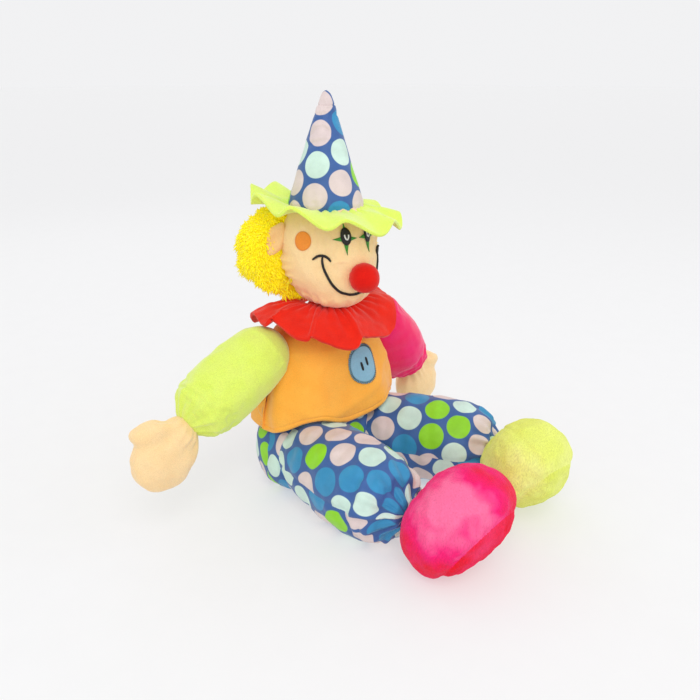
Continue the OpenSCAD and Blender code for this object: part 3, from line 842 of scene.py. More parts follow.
shirtShape = {
    "around": 240, "rows": 90, "slitHalf": 31, "slitArch": 123, "cloth": 1.5,
    "low": 78, "tall": 108, "middleY": 5, "square": 2.3,
    "deep": 0.70,  # depth as a share of the width
    "shares": (0, 0.15, 0.32, 0.5, 0.62, 0.75, 0.87, 0.95, 1),  # height up the shirt, then half its width there
    "halfWidths": (84.5, 84, 80.5, 75, 70.5, 65, 55.5, 43, 27),
}
neckZ = jointAt["head_turn"][2] / mm + 1


def shirtHeightShare(z):
    return np.clip((z - shirtShape["low"]) / shirtShape["tall"], 0, 1)


def shirtHalfWidth(z):
    return np.interp(shirtHeightShare(z), shirtShape["shares"], shirtShape["halfWidths"])


def shirtDepth(x, halfWidth, widest=1.0):
    # how far the squarish cross-section reaches forward or back at x
    n = shirtShape["square"]
    return halfWidth * shirtShape["deep"] * (1 - np.clip(np.abs(x) / halfWidth, 0, widest) ** n) ** (1 / n)


def shirtSurface(angle, s):
    # angle round the body, s from the hem (0) to the neck (1); millimetres
    frontness = easeStep(-np.sin(angle), 0.05, 0.75)
    overThigh = sum(hump(np.cos(angle) * 83 + thigh, 24) for thigh in (46, -46))
    hem = 76 + frontness * (5 + 9.5 * np.clip(overThigh, 0, 1))
    hem = hem + 1.5 * np.sin(angle * 5 + 1) + 0.8 * np.sin(angle * 11)
    z = hem + s * (neckZ - 3 - hem)
    k, w, n = shirtHeightShare(z), shirtHalfWidth(z), shirtShape["square"]
    boxy = (np.abs(np.cos(angle)) ** n + np.abs(np.sin(angle)) ** n) ** (-1 / n)
    x, y = w * boxy * np.cos(angle), w * shirtShape["deep"] * boxy * np.sin(angle)
    slack = (1 - easeStep(k, 0.35, 1.0))
    fold = 2.6 * np.sin(angle * 9 + 3.4 * k + 1.2 * np.sin(angle * 2)) * slack * slack
    fold += 1.7 * np.sin(angle * 4 - 5.5 * k + 0.7) * slack
    fold += 1.5 * np.exp(-((k - 0.33 - 0.17 * np.cos(angle * 2 + 0.8)) / 0.05) ** 2) * frontness
    hemRoll = -1.4 * hump(s, 0.012) - 0.7 * hump(s - 0.055, 0.012)
    belly = 3.2 * frontness * hump(k - 0.12, 0.22)
    push = fold + hemRoll + belly
    return np.stack([x + push * np.cos(angle), y + 5 + push * np.sin(angle), z], -1) * mm


def makeShirtPanel(name, angles, front):
    c = shirtShape
    s = np.concatenate([np.linspace(0, 0.08, 14)[:-1], np.linspace(0.08, 1, c["rows"])])
    share, angle = np.meshgrid(s, angles, indexing="ij")
    points = shirtSurface(angle, share)
    if not front:
        # the slit for the hand: points beside it gather at its edge
        x, z = points[..., 0] / mm, points[..., 2] / mm
        arch = np.sqrt(np.clip(c["slitHalf"] ** 2 - (z - c["slitArch"]) ** 2, 0, None))
        opening = np.where(z < c["slitArch"], c["slitHalf"], arch)
        reach = opening + np.abs(x) * (1 - opening / np.maximum(np.abs(points[:, :1, 0]) / mm, 60))
        points[..., 0] = np.sign(np.cos(angle)) * reach * mm
        points[..., 1] = (c["middleY"] + shirtDepth(reach, shirtHalfWidth(z))) * mm
        points[..., 1] += 1.6 * np.sin(angle * 9 + z * 0.03) * (1 - easeStep(z, 115, 180)) * mm
    panel = gridMesh(name, points)
    if not front:
        # open the cloth along the slit: only the faces that bridge it go
        def bridgesSlit(face):
            xs = [v.co.x for v in face.verts]
            low = face.calc_center_median().z < (c["slitArch"] + c["slitHalf"]) * mm
            return low and min(xs) < -0.1 * mm and max(xs) > 0.1 * mm and max(map(abs, xs)) > 2 * mm

        cutAway(panel, bridgesSlit)
    co = readPoints(panel)
    bumps = clothNoise(co, 46 * mm, 5) * 0.7 + clothNoise(co * np.array([1, 1, 0.5]), 19 * mm, 6) * 0.28
    fromMiddle = co[:, 1] - c["middleY"] * mm
    co[:, 1] += np.sign(fromMiddle) * bumps * mm * easeStep(np.abs(fromMiddle), 0, 12 * mm)
    writePoints(panel, co)
    thicken(panel, c["cloth"] * mm)
    setFinish(panel, "orangeJersey", "orange_jersey")
    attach(panel, "torso")
    return panel


steps = shirtShape["around"] // 2
shirtFront = makeShirtPanel("shirtFront", np.linspace(math.pi, tau, steps + 1), True)
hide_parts("shirt_front")
# the back's two halves start a hair apart at the slit
quarter, apart = math.pi / 2, 1e-3
ends = ((0, quarter - apart), (quarter + apart, math.pi))
backAngles = np.concatenate([np.linspace(a, b, steps // 2 + 1) for a, b in ends])
shirtBack = makeShirtPanel("shirtBack", backAngles, False)
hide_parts("shirt_back")
print("shirt made")

# shirt trims: patch, its stitches, slit tape and glove lining

patchShape = {"at": (12.5, 137.5), "radius": 20.5, "scallops": 26, "stitches": 58}


def dropOnto(tree, points, direction, lift):
    # lays points on a surface along one direction, in metres
    laid = []
    for p in points:
        hit, _, _, _ = tree.ray_cast(Vector(p), Vector(direction))
        laid.append(hit - Vector(direction) * lift if hit is not None else Vector((np.nan,) * 3))
    co = np.array(laid)
    good = np.isfinite(co[:, 0])
    if not good.all():
        co[~good] = co[good].mean(0)
    return co


def surfaceTree(piece):
    mesh = piece.data
    verts = [piece.matrix_world @ v.co for v in mesh.vertices]
    return BVHTree.FromPolygons(verts, [tuple(p.vertices) for p in mesh.polygons])


def sewnPatch(name, tree, outline, direction, place, lift, rings=9, dome=0.5 * mm):
    # a flat shape cut from cloth, laid on a curved surface and domed a little
    outline = np.array(outline, float)
    centre = outline.mean(0)
    rows = np.array([centre + (outline - centre) * s for s in np.linspace(0.04, 1, rings)])
    co = dropOnto(tree, place(rows.reshape(-1, 2)), direction, lift)
    lifted = np.repeat(np.linspace(0.04, 1, rings), len(outline))
    co -= np.array(direction) * (dome * (1 - lifted ** 4))[:, None]
    grid = co.reshape(rings, len(outline), 3)
    return ringMesh(name, grid, capEnd=False)


def makePatch():
    c = patchShape
    tree = surfaceTree(shirtFront)
    t = np.linspace(0, tau, 312, endpoint=False)
    cx, cz = c["at"]
    r = c["radius"] * (1 + 0.012 * np.sin(t * c["scallops"]))
    outline = np.stack([cx + r * 0.98 * np.cos(t), cz + r * 1.02 * np.sin(t)], 1)

    def place(q):
        # in front of the shirt, ready to be laid back onto it
        return np.stack([q[:, 0] * mm, np.full(len(q), -0.3), q[:, 1] * mm], 1)

    patch = sewnPatch("buttonPatch", tree, outline, (0, 1, 0), place, 0.5 * mm, 14, 0.4 * mm)
    thicken(patch, 1.0 * mm)
    setFinish(patch, "patchFelt", "grey_blue_felt")
    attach(patch, "torso")
    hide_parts("button_patch")
    # blanket stitches round the edge
    stitches = []
    for a in tau * np.arange(c["stitches"]) / c["stitches"]:
        loop = ((c["radius"] - 2.2, 0.0), (c["radius"] + 0.6, 0.03), (c["radius"] - 2.0, 0.06))
        ends = [(cx + r * math.cos(a + da), cz + r * math.sin(a + da)) for r, da in loop]
        q = dropOnto(tree, place(np.array(ends)), (0, 1, 0), 1.6 * mm)
        stitches.append(tubeAlong("stitch", q, 0.32 * mm, 5))
    edging = joinPieces("patchEdging", stitches)
    setFinish(edging, "patchThread", "grey_blue_felt")
    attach(edging, "torso")
    marks = []
    for x, z, tilt in ((cx - 3.6, cz - 1.5, 0.14), (cx + 4.2, cz + 2.0, 0.10)):
        zz = np.linspace(-4.6, 4.6, 15)
        q = np.stack([x - tilt * zz, zz + z], 1)
        path = dropOnto(tree, place(q), (0, 1, 0), 1.7 * mm)
        swell = 1 - np.linspace(-1, 1, 15) ** 4 * 0.65
        marks.append(tubeAlong("mark", path, 1.35 * mm, 10, ripple=lambda i, a, s=swell: s[i] * (1 + 0 * a)))
    stitching = joinPieces("patchStitches", marks)
    setFinish(stitching, "blackThread", "black_thread")
    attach(stitching, "torso")
    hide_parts("patch_stitches")


makePatch()


def makeSlitTape():
    c = shirtShape
    path = []
    for z in np.linspace(c["low"], c["slitArch"], 26):
        path.append((c["slitHalf"], z))
    for a in np.linspace(0, math.pi, 30)[1:-1]:
        path.append((c["slitHalf"] * math.cos(a), c["slitArch"] + c["slitHalf"] * math.sin(a)))
    for z in np.linspace(c["slitArch"], c["low"], 26):
        path.append((-c["slitHalf"], z))
    path = np.array(path)
    y = c["middleY"] + shirtDepth(path[:, 0], shirtHalfWidth(path[:, 1]))
    points = np.stack([path[:, 0], y + 0.4, path[:, 1]], 1) * mm

    def ripple(i, a):
        return 1 + 0.07 * np.sin(i * 1.9) + 0.1 * np.sin(i * 0.7 + 2 * a)

    tape = tubeAlong("slitHem", points, 2.3 * mm, 12, ripple)
    setFinish(tape, "orangeJersey", "orange_jersey")
    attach(tape, "torso")
    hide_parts("hand_slit_hem")


makeSlitTape()


def makeLining():
    a = np.linspace(0, tau, 121)[:-1]
    s = np.linspace(0, 1, 44)
    share, angle = np.meshgrid(s, a, indexing="ij")
    z = 96 + share * 80
    w = (shirtHalfWidth(z) - 6) * (1 - 0.5 * easeStep(share, 0.86, 1))
    fold = 1.3 * np.sin(angle * 7 + 3 * share) + 0.6 * np.sin(angle * 15 - 2 * share)
    x, y = (w + fold) * np.cos(angle), 5 + (w + fold) * 0.66 * np.sin(angle)
    # inside the slit the lining is cut away
    grid = np.stack([x, y, z], 2) * mm
    lining = gridMesh("gloveLining", np.concatenate([grid, grid[:, :1]], 1))
    sewClosed(lining)

    def overSlit(face):
        x, y, z = face.calc_center_median() / mm
        half, arch = shirtShape["slitHalf"], shirtShape["slitArch"]
        edge = half if z < arch else math.sqrt(max(0, half ** 2 - (z - arch) ** 2))
        return y > shirtShape["middleY"] and abs(x) < edge

    cutAway(lining, overSlit)
    thicken(lining, 0.8 * mm)
    setFinish(lining, "liningCloth", "lining")
    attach(lining, "torso")
    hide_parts("glove_lining")


makeLining()
print("shirt trims made")


# collar

collarShape = {"folds": 8, "seed": 4, "cloth": 3.6}


def makeCollar():
    c = collarShape
    around, rows = 900, 46
    a = np.linspace(0, tau, around + 1)[:-1]
    s = np.linspace(0, 1, rows)
    share, angle = np.meshgrid(s, a, indexing="ij")
    rng = np.random.RandomState(c["seed"])
    drift = sum(rng.uniform(0.3, 1) / k * np.sin(k * angle + rng.uniform(0, tau)) for k in (1, 2, 3, 4))
    big = c["folds"] * angle + 1.5 * drift
    small = 34 * angle + 3 * drift
    grow = easeStep(share, 0.05, 0.9)
    # the cloth leaves the neck, lies over the shoulders and hangs lower in front and behind
    reachX, reachY = 84 + 2 * np.sin(3 * angle + 1), 70 + 3 * np.sin(2 * angle)
    r0 = 27
    bow = share ** 0.9
    fold = np.sin(big) + 0.12 * np.sin(2 * big + 1)
    radial = 1 + 0.035 * grow * np.cos(big + 0.6)
    across = (r0 + (reachX - r0) * bow) * radial * np.cos(angle)
    deep = (r0 + (reachY - r0) * bow) * radial * np.sin(angle) - 2 * share
    drop = 24 * np.abs(np.sin(angle)) ** 1.3
    arch = 3.5 * np.sin(share * math.pi) * (1 - 0.5 * np.abs(np.sin(angle)))
    height = 202.0 + arch - (drop + 4 * np.abs(np.cos(angle)) ** 3) * share ** 1.35
    height = height + grow * 6.0 * fold * (1 - 0.35 * np.abs(np.cos(angle)))
    height = height + (1 - grow) * 1.1 * np.sin(small) * easeStep(share, 0, 0.08)
    height = height - 4.0 * share * easeStep(np.sin(angle), -0.2, -1.0)
    # sideways swing makes the folds lap over
    lap = grow * 6.5 * np.cos(big + 0.9)
    across = across - lap * np.sin(angle)
    deep = deep + lap * np.cos(angle)
    grid = np.stack([across, deep, height], 2) * mm
    co = grid.reshape(-1, 3)
    co = co + np.stack([0 * co[:, 0], 0 * co[:, 0], clothNoise(co, 16 * mm, 8) * 0.5 * mm], 1)
    grid = co.reshape(grid.shape)
    collar = gridMesh("collarRuffle", np.concatenate([grid, grid[:, :1]], 1))
    sewClosed(collar)
    thicken(collar, c["cloth"] * mm)
    roundEdges(collar)
    setFinish(collar, "redFleece", "red_fleece")
    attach(collar, "torso")
    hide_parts("collar_ruffle")


makeCollar()
print("collar made")


# head

headShape = {"turn": -6.0, "skull": (52, 52.5, 54), "muzzle": (41.6, 34.3, 37), "around": 150, "rows": 96}
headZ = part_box("head_cover")[1][2] / mm - headShape["skull"][2]
headY = -8.0
muzzleAt = np.array((0, headY - 19.8, headZ - 18.0))
faceTurn = turnFlat(math.radians(headShape["turn"]))


def fromFace(points):
    # face frame (x across, y back, z up, in mm) to the model in metres
    return np.asarray(points, float) @ faceTurn.T * mm


def toFace(points):
    return np.asarray(points, float) @ faceTurn / mm


def headRadius(d):
    skull, muzzle = np.array(headShape["skull"], float), np.array(headShape["muzzle"], float)
    centre = np.array((0, headY, headZ))
    # rounder below and fuller above, where the hat sits
    flat, rise = np.linalg.norm(d[..., :2] / skull[:2], axis=-1), d[..., 2] / skull[2]
    r1 = np.where(rise < 0, (flat ** 2 + rise ** 2) ** -0.5, (flat ** 3 + np.abs(rise * 0.98) ** 3) ** (-1 / 3))
    o = (muzzleAt - centre) / muzzle
    q = d / muzzle
    a, b, c = (q ** 2).sum(-1), (q * o).sum(-1), (o ** 2).sum() - 1
    r2 = (b + np.sqrt(np.maximum(b * b - a * c, 0))) / a
    s = 2.2
    m = np.maximum(r1, r2)
    return m + s * np.log(np.exp((r1 - m) / s) + np.exp((r2 - m) / s)) - s * 0.25


def makeHead():
    c = headShape
    a = np.linspace(0, math.pi, c["rows"] + 2)[1:-1]
    t = np.linspace(0, tau, c["around"], endpoint=False)
    polar, turn = np.meshgrid(a, t, indexing="ij")
    d = np.stack([np.sin(polar) * np.cos(turn), np.sin(polar) * np.sin(turn), -np.cos(polar)], 2)
    shell = d * headRadius(d)[..., None] + np.array((0, headY, headZ))
    head = ringMesh("headCover", shell * mm)
    co = readPoints(head)
    held = hump(co[:, 2] / mm - headZ + 49, 6)
    stuff(head, held, pressure=2, grow=0.02, cap=1.6 * mm, frames=12)
    addSubdivision(head)
    co = readPoints(head)
    x, y, z = (co / mm).T

    def near(x0, y0, z0):
        # 1 at a place on the face, dying away over 15 mm
        return hump(np.linalg.norm(co / mm - (x0, y0, headZ + z0), axis=1), 15)

    # cheeks beside the smile, puckers along the side seam and under the jaw, a dip behind the nose
    puff = 1.5 * sum(near(cheekX * 0.92, -34, -12) for cheekX in (-46, 46))
    side = hump(y - 4, 16) * easeStep(np.abs(x), 24, 42) * (1 - easeStep(z, headZ - 2, headZ + 18))
    rays = np.sin(z * 0.62 + 1.1 * np.sin(y * 0.11) + clothNoise(co, 30 * mm, 44) * 1.1)
    under = np.sin(np.arctan2(y, x) * 22 + clothNoise(co, 30 * mm, 41)) * hump(z - headZ + 42, 9)
    seam = hump(y - 8, 1.1) * easeStep(np.abs(x), 20, 34)
    lumps = clothNoise(co, 34 * mm, 46) * 0.55 + clothNoise(co, 13 * mm, 47) * 0.14
    dip = -2.2 * near(0, headY - 54, -15)
    movePoints(head, pointNormals(head), puff + 0.95 * rays * side + 0.9 * under - 1.1 * seam + lumps + dip)
    writePoints(head, fromFace(readPoints(head) / mm))
    setFinish(head, "peachVelour", "peach_velour")
    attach(head, "head")
    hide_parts("head_cover", "head_stuffing")
    return head


head = makeHead()
headTree = surfaceTree(head)


def onFace(q):
    # points drawn from the front: x across, z above the middle of the head
    return fromFace(np.stack([q[:, 0], np.full(len(q), -150.0), q[:, 1] + headZ], 1))


faceBack = faceTurn @ np.array((0, 1.0, 0))

faceShape = {"eyeX": 13.5, "eyeZ": 25.0, "cheekRadius": 8.8, "noseRadius": 15.3}


def starOutline(cx, cz, long, short, waist):
    # a four-pointed star with hollow sides
    t = np.linspace(0, tau, 96, endpoint=False)
    reach = np.where(np.abs(np.cos(t)) > np.abs(np.sin(t)), short, long)
    k = np.abs(np.sin(2 * t)) ** 0.55
    r = reach * (1 - k) + waist * k
    return np.stack([cx + r * np.cos(t), cz + r * np.sin(t)], 1)


def ovalOutline(cx, cz, rx, rz):
    t = np.linspace(0, tau, 72, endpoint=False)
    return np.stack([cx + rx * np.cos(t), cz + rz * np.sin(t)], 1)


def makeEye(side):
    c = faceShape
    x = outward[side] * c["eyeX"]
    points = starOutline(x, c["eyeZ"] - 1, 16, 12.5, 3.6)
    star = sewnPatch("eyeStar_" + side, headTree, points, faceBack, onFace, 0.35 * mm, 9, 0.45 * mm)
    thicken(star, 0.7 * mm)
    setFinish(star, "greenThread", "green_thread")
    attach(star, "head")
    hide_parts("eye_star_" + side)
    points = ovalOutline(x, c["eyeZ"] + 1.5, 5.0, 8.6)
    pupil = sewnPatch("eyePupil_" + side, headTree, points, faceBack, onFace, 1.1 * mm, 8, 0.7 * mm)
    thicken(pupil, 0.7 * mm)
    setFinish(pupil, "blackThread", "black_thread")
    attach(pupil, "head")
    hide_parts("eye_pupil_" + side)
    t = np.linspace(-0.05, math.pi + 0.05, 30)
    arc = np.stack([x + 1.9 * np.cos(t), c["eyeZ"] + 3.2 - 4.6 * np.sin(t)], 1)
    glint = tubeAlong("eyeGlint_" + side, dropOnto(headTree, onFace(arc), faceBack, 2.2 * mm), 0.75 * mm, 8)
    setFinish(glint, "whiteThread", "black_thread")
    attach(glint, "head")


def makeCheek(side):
    c = faceShape
    x = outward[side]
    centre = np.array((x * 42.0, -26.0, headZ + 20))
    normal = unitVector((x * 0.80, -0.44, 0.34))
    across = unitVector(np.cross((0, 0, 1), normal))
    upward = np.cross(normal, across)

    def place(q):
        return fromFace(centre + normal * 40 + q[:, :1] * across + q[:, 1:] * upward)

    points = ovalOutline(0, 0, c["cheekRadius"], c["cheekRadius"] * 1.06)
    cheek = sewnPatch("cheek_" + side, headTree, points, faceTurn @ -normal, place, 0.35 * mm, 8, 0.5 * mm)
    thicken(cheek, 0.7 * mm)
    setFinish(cheek, "cheekFelt", "orange_felt")
    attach(cheek, "head")
    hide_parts("cheek_" + side)


def makeMouth():
    # a stitched smile with a short bow across each end; points run right cheek to left cheek
    half = np.array([(-41.0, 10.0), (-41.6, 4.5), (-40.4, -4.0), (-37.6, -13.0), (-33.2, -23.5), (-27.6, -32.0),
                     (-20.2, -38.4), (-11.0, -41.8), (0.0, -42.4)])
    full = np.concatenate([half, half[:-1][::-1] * np.array((-1, 1))])
    t = np.linspace(0, len(full) - 1, 220)
    k = np.arange(len(full))
    line = np.stack([np.interp(t, k, full[:, 0]), np.interp(t, k, full[:, 1])], 1)
    for _ in range(26):
        line[1:-1] = (line[:-2] + 2 * line[1:-1] + line[2:]) / 4
    paths = [line]
    for s in (-1, 1):
        u = np.linspace(-1, 1, 50)
        paths.append(np.stack([s * (41.2 + 7.4 * u), 10.8 - 6.0 * u ** 2 + 0.8 * u], 1))
    parts = []
    for i, path in enumerate(paths):
        # each point is laid on the head from the direction it faces
        laid = []
        for x, z in path:
            aim = unitVector((x, -math.sqrt(max(1.0, 58 ** 2 - min(abs(x), 57) ** 2)) - 4, z + 4))
            origin = np.array((0, headY, headZ)) + np.array((0, 0, -4.0)) + aim * 140
            hit, normal, _, _ = headTree.ray_cast(Vector(fromFace(origin[None])[0]), Vector(faceTurn @ -aim))
            laid.append(np.array(hit) + np.array(normal) * 0.55 * mm)

        def ripple(n, a, last=len(path) - 1):
            return (1 - 0.35 * np.abs(2 * n / last - 1) ** 6) * (1 + 0.12 * np.sin(n * 2.4 + a))

        parts.append(tubeAlong("stroke", np.array(laid), (1.35 if i == 0 else 1.3) * mm, 8, ripple))
    mouth = joinPieces("mouthStitching", parts)
    setFinish(mouth, "blackThread", "black_thread")
    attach(mouth, "head")
    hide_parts("mouth_stitching")


def makeNose():
    c = faceShape
    points = ballPoints((c["noseRadius"], c["noseRadius"], c["noseRadius"]), 36, 56)
    points = np.stack([points[..., 0], points[..., 2], points[..., 1]], 2)
    centre = np.array((0, -68.6, headZ - 15.0))
    nose = ringMesh("noseBall", points * mm)
    stuff(nose, np.zeros(len(nose.data.vertices)), pressure=2, grow=0.0, cap=0.6 * mm, frames=6)
    co = readPoints(nose)
    back = easeStep(co[:, 1] / mm, 4, 14)
    pucker = np.sin(np.arctan2(co[:, 2], co[:, 0]) * 13) * back
    movePoints(nose, pointNormals(nose), clothNoise(co, 14 * mm, 77) * 0.3 + pucker * 0.5)
    writePoints(nose, fromFace(readPoints(nose) / mm + centre))
    addSubdivision(nose)
    setFinish(nose, "nosePlush", "red_fleece")
    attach(nose, "head")
    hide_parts("nose_ball")


def makeEar(side):
    x = outward[side]
    points = ballPoints((1, 1, 1), 44, 60)
    q = points.reshape(-1, 3)
    # leaf outline with a pointed tip, hollowed on the side that faces forward
    z = q[:, 2]
    width = 11.5 * (1 - 0.45 * easeStep(z, 0.1, 1.0)) * (1 - 0.25 * easeStep(-z, 0.3, 1.0))
    lx, ly, lz = q[:, 0] * width, q[:, 1] * 5.0, z * 18
    hollow = easeStep(-q[:, 1], 0.1, 0.9) * hump(lx + 0.5, 5.5) * hump(lz + 1, 11)
    ly = ly + 5.2 * hollow
    ly = ly + 0.045 * lx ** 2
    leaf = np.stack([lx, ly, lz], 1).reshape(points.shape)
    ear = ringMesh("ear_" + side, leaf * mm)
    co = readPoints(ear) / mm
    lean, spin = tiltAcross(math.radians(-24 * x)), turnFlat(math.radians(28 * x))
    co = co @ lean.T @ spin.T + np.array((x * 57.0, 3.0, headZ + 20))
    writePoints(ear, fromFace(co))
    addSubdivision(ear)
    setFinish(ear, "earVelour", "peach_velour")
    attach(ear, "head")
    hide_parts("ear_" + side)


for side in sides:
    makeEye(side)
    makeCheek(side)
    makeEar(side)
makeMouth()
makeNose()
print("face made")


# hair

hairShape = {"radii": (82, 60, 52), "tufts": 14000, "tuftLength": 5.0, "seed": 21}


def makeHair():
    c = hairShape
    centre = np.array((0, 22.0, headZ + 3))
    points = ballPoints(c["radii"], 60, 120)
    q = points.reshape(-1, 3)
    lumps = clothNoise(q * mm, 26 * mm, 3) * 2.6 + clothNoise(q * mm, 11 * mm, 4) * 0.9
    n = q / np.linalg.norm(q, axis=1, keepdims=True)
    q = q + n * lumps[:, None]
    low = easeStep(-q[:, 2], 20, 50)
    q[:, 1] = q[:, 1] - 4 * low
    # cut flat behind the face and under the brim
    front, top = 10 - centre[1], 41
    q[:, 1] = np.where(q[:, 1] < front, front + (q[:, 1] - front) * 0.12, q[:, 1])
    q[:, 2] = np.where(q[:, 2] > top, top + (q[:, 2] - top) * 0.3, q[:, 2])
    pile = ringMesh("hairPile", fromFace((q + centre)).reshape(points.shape))
    setFinish(pile, "yellowPile", "yellow_pile")
    rng = np.random.RandomState(c["seed"])
    mesh = pile.data
    areas = np.array([p.area for p in mesh.polygons])
    centres = np.array([p.center for p in mesh.polygons])
    normals = np.array([p.normal for p in mesh.polygons])
    faceSide = toFace(centres)
    around = (faceSide[:, 0] / 53) ** 2 + ((faceSide[:, 1] + 8) / 53) ** 2 + ((faceSide[:, 2] - headZ) / 56) ** 2
    weight = areas * ((faceSide[:, 1] > 8.5) | (around > 1.02))
    pick = rng.choice(len(areas), c["tufts"], p=weight / weight.sum())
    jitter = rng.normal(size=(c["tufts"], 3)) * 1.1 * mm
    root = centres[pick] + jitter - normals[pick] * 1.2 * mm
    lean = rng.normal(size=(c["tufts"], 3)) * 0.32
    down = np.array((0, 0, -0.45))
    way = normals[pick] + lean + down
    way /= np.linalg.norm(way, axis=1, keepdims=True)
    length = c["tuftLength"] * rng.uniform(0.55, 1.15, c["tufts"]) * mm
    verts, faces = [], []
    for i in range(c["tufts"]):
        w = way[i]
        u = np.cross(w, (0.3, 0.5, 0.81))
        u /= np.linalg.norm(u)
        v = np.cross(w, u)
        bend = (rng.normal(size=3) * 0.22 + np.array((0, 0, -0.25))) * length[i]
        base = len(verts)
        for s, r in ((0, 1.0), (0.55, 0.75)):
            p = root[i] + w * length[i] * s + bend * s * s
            for k in range(3):
                a = tau * k / 3
                verts.append(p + (math.cos(a) * u + math.sin(a) * v) * r * 0.95 * mm)
        verts.append(root[i] + w * length[i] + bend)
        for k in range(3):
            m = (k + 1) % 3
            faces.append((base + k, base + m, base + 3 + m, base + 3 + k))
            faces.append((base + 3 + k, base + 3 + m, base + 6))
    tufts = newPiece("hairTufts", verts, faces)
    # the tufts' finish glows: painted light that lifts their shade
    setFinish(tufts, "litYellowTufts", "yellow_pile")
    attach(pile, "head")
    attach(tufts, "head")
    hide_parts("hair_pile")
    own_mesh(pile)
    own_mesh(tufts)


makeHair()


def makeThreadTuft():
    rng = np.random.RandomState(5)
    low, high = (np.array(v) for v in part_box("thread_tuft"))
    middle = (low + high) / 2
    strands = []
    for i in range(9):
        way = unitVector(rng.normal(size=3) + np.array((-0.5, -0.3, -0.6)))
        t = np.linspace(0, 1, 12)
        curl = rng.normal(size=3) * 0.8
        path = middle + np.outer(t, way) * rng.uniform(4, 9) * mm
        path = path + np.outer(np.sin(t * 3.4), curl) * 1.6 * mm
        strands.append(tubeAlong("strand", path, 0.42 * mm, 6))
    t = np.linspace(0, 5, 60)
    loops = np.stack([2.1 * np.cos(t * 2.3), 1.7 * np.sin(t * 3.1), 1.9 * np.sin(t * 2.3)], 1)
    knot = tubeAlong("knot", middle + loops * mm, 0.6 * mm, 6)
    tuft = joinPieces("threadTuft", strands + [knot])
    setFinish(tuft, "yellowPile", "yellow_pile")
    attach(tuft, "head")
    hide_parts("thread_tuft")
    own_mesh(tuft)


makeThreadTuft()
print("hair made")


# hat

hatShape = {
    "profile": [(-14, 39), (-4, 39), (4, 37.5), (30, 29), (60, 19.5), (88, 11.2), (102, 7.6), (109, 5.4), (112, 3.2),
                (113, 1)],
    "around": 120, "rows": 80, "height": 112, "y": -4,
}
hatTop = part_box("hat_cone")[1][2] / mm
hatFoot = hatTop - hatShape["height"]


def makeHat():
    c = hatShape
    height, angle, radius, _ = latheGrid(c)
    points = np.stack([radius * np.cos(angle), radius * np.sin(angle), height], 2) * mm
    # the print lies flat on the cone: unroll it from the tip
    tipZ, footRadius, start = 128.0, 38.0, -1.9
    slant = np.hypot(tipZ - height[:, 0], radius[:, 0]) * mm
    opening = footRadius / math.hypot(tipZ, footRadius)

    def uvOf(i, j, cell):
        turnBy = (tau * j / c["around"] + start) * opening
        rho = slant[min(i, len(slant) - 1)]
        return (rho * math.sin(turnBy) + 0.4, rho * math.cos(turnBy))

    hat = ringMesh("hatCone", points, uvOf)
    z = readPoints(hat)[:, 2] / mm
    held = np.clip(easeStep(z, 4, -8) + easeStep(z, 102, 112), 0, 1)
    stuff(hat, held, pressure=2, grow=0.03, cap=2 * mm, frames=12)
    co = readPoints(hat)
    z, a = co[:, 2] / mm, np.arctan2(co[:, 1], co[:, 0])
    # three creases on one side, with soft ridges between them
    dents = hump(z - 62 - 4 * np.sin(a * 2), 2.6) + 0.8 * hump(z - 74 + 5 * np.sin(a * 3), 2.2)
    dents = dents + 0.7 * hump(z - 86, 2.0)
    ridges = hump(z - 67, 3) + hump(z - 80, 3)
    crease = hump(angleFrom(a, -2.5), 0.9) * (1.1 * ridges - 1.8 * dents)
    fade = easeStep(z, -4, 12) * (1 - easeStep(z, 98, 112) * 0.6)
    lumps = clothNoise(co * (1, 1, 0.7), 26 * mm, 61) * 0.55 * fade
    seam = hump(angleFrom(a, 1.2) * np.maximum(15, 38 - z * 0.27), 1.3)
    foot = np.sin(a * 19 + 2 * np.sin(a * 3)) * (1 - easeStep(z, 0, 20)) * 0.8
    movePoints(hat, outFromAxis(co), crease + lumps - seam + foot)
    co = readPoints(hat)
    co[:, 0] += 1.6 * easeStep(z, 30, 112) * mm
    co += np.array((0, c["y"], hatFoot)) * mm
    writePoints(hat, co)
    addSubdivision(hat)
    setFinish(hat, "hatDotCloth", "dot_print")
    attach(hat, "head")
    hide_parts("hat_cone", "hat_stuffing")


makeHat()

brimShape = {"folds": 9, "cloth": 3.4, "inner": 37, "outer": 78, "tilt": 15.5}


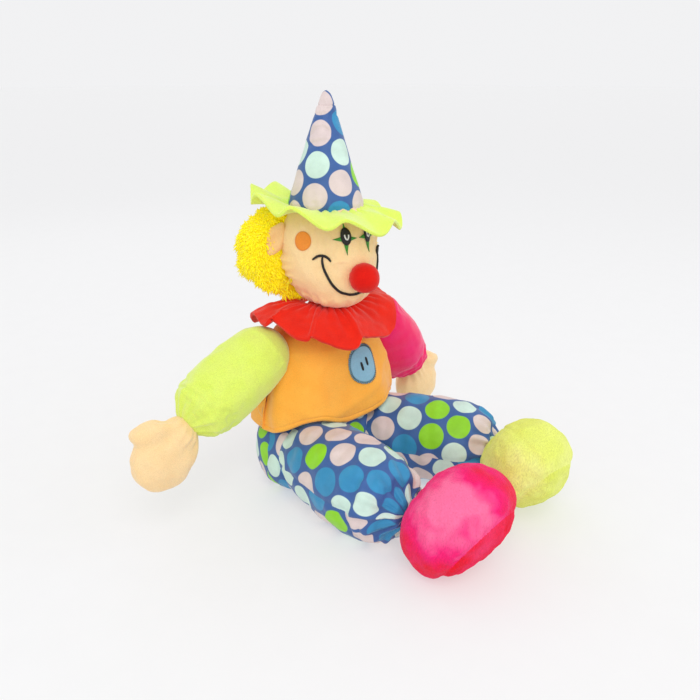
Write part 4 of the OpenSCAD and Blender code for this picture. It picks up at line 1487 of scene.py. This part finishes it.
def makeBrim():
    c = brimShape
    around, rows = 720, 36
    a = np.linspace(0, tau, around + 1)[:-1]
    s = np.linspace(0, 1, rows)
    share, angle = np.meshgrid(s, a, indexing="ij")
    rng = np.random.RandomState(9)
    drift = sum(rng.uniform(0.4, 1) / k * np.sin(k * angle + rng.uniform(0, tau)) for k in (1, 2, 3))
    big = c["folds"] * angle + 1.3 * drift
    grow = share ** 1.3
    r = c["inner"] + (c["outer"] - c["inner"]) * share
    wave = np.sin(big) + 0.10 * np.sin(2 * big + 0.8)
    across = r * (1 + 0.02 * grow * np.cos(big)) * np.cos(angle)
    deep = r * (1 + 0.02 * grow * np.cos(big)) * np.sin(angle)
    # higher at the right and behind, drooping at the left and front
    tiltWay = math.radians(-44)
    tiltAmount = -np.cos(angle - tiltWay)
    height = hatFoot - 2 + 2.5 * np.sin(share * math.pi * 0.8) + grow * (6.4 * wave) + share * c["tilt"] * tiltAmount - 1.5 * share
    height += -2.5 * share * hump(angleFrom(angle, -math.pi / 2 - 0.4), 0.7)
    lap = grow * 2.6 * np.cos(big + 1.0)
    across = across - lap * np.sin(angle)
    deep = deep + lap * np.cos(angle)
    small = np.sin(27 * angle + 2 * drift) * (1 - easeStep(share, 0.0, 0.45)) * 1.0
    height = height + small
    grid = np.stack([across, deep + hatShape["y"], height], 2) * mm
    brim = gridMesh("hatBrim", np.concatenate([grid, grid[:, :1]], 1))
    sewClosed(brim)
    thicken(brim, c["cloth"] * mm)
    roundEdges(brim)
    setFinish(brim, "brimFleece", "lime_fleece")
    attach(brim, "head")
    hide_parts("hat_brim")


makeBrim()
print("hat made")


# hidden seams, neck and finger pocket keep their frame shape under cloth finishes

hiddenFinishes = {
    "neck_tube": "orangeJersey", "neck_band": "redFleece", "finger_pocket": "liningCloth",
    "hip_ring_right": "ringCloth", "hip_ring_left": "ringCloth",
    "armhole_ring_right": "limeFleece", "armhole_ring_left": "pinkJersey",
}
for node, finish in hiddenFinishes.items():
    setFinish(frame["nodes"][node], finish)

# camera, floor and lights

view = {"place": (-0.5153, -0.5736, 0.4310), "target": (0, -0.04, 0.19), "lens": 38.31, "shiftY": -0.0457}
camera = bpy.data.objects.new("camera", bpy.data.cameras.new("camera"))
bpy.context.scene.collection.objects.link(camera)
camera.location = view["place"]
camera.rotation_euler = (Vector(view["target"]) - Vector(view["place"])).to_track_quat("-Z", "Y").to_euler()
camera.data.lens = view["lens"]
camera.data.sensor_width = 36
camera.data.shift_y = view["shiftY"]
camera.data.clip_start = 0.01
bpy.context.scene.camera = camera

floorFinish, tree, shader = newFinish("paleFloor")
where = addNode(tree, "ShaderNodeTexCoord").outputs["Object"]
grain = addNoise(tree, where, 30, 3).outputs["Fac"]
tree.links.new(mixColour(tree, grain, (0.39, 0.39, 0.395), (0.41, 0.41, 0.415)), shader.inputs["Base Color"])
setSockets(shader, roughness=0.9, glowColour=(1, 1, 1, 1), glow=0.475)
floor = newPiece("floor", [(-30, -30, 0), (30, -30, 0), (30, 30, 0), (-30, 30, 0)], [(0, 1, 2, 3)])
floor.data.materials.append(floorFinish)

world = bpy.data.worlds.new("paleRoom")
bpy.context.scene.world = world
world.use_nodes = True
world.node_tree.nodes["Background"].inputs[0].default_value = (0.885, 0.885, 0.895, 1)
world.node_tree.nodes["Background"].inputs[1].default_value = 1.0
lamps = {  # where, watts, width
    "key": ((-0.9, -1.1, 1.5), 11, 1.1),
    "fill": ((1.1, -0.9, 0.9), 2.0, 1.4),
    "back": ((0.3, 1.3, 1.2), 1.5, 1.2),
}
for name, (at, power, size) in lamps.items():
    lamp = bpy.data.objects.new(name, bpy.data.lights.new(name, "AREA"))
    lamp.data.energy = power
    lamp.data.size = size
    lamp.location = at
    lamp.rotation_euler = (Vector((0, -0.05, 0.18)) - Vector(at)).to_track_quat("-Z", "Y").to_euler()
    bpy.context.scene.collection.objects.link(lamp)
bpy.context.scene.view_settings.view_transform = "Standard"

print("scene made")
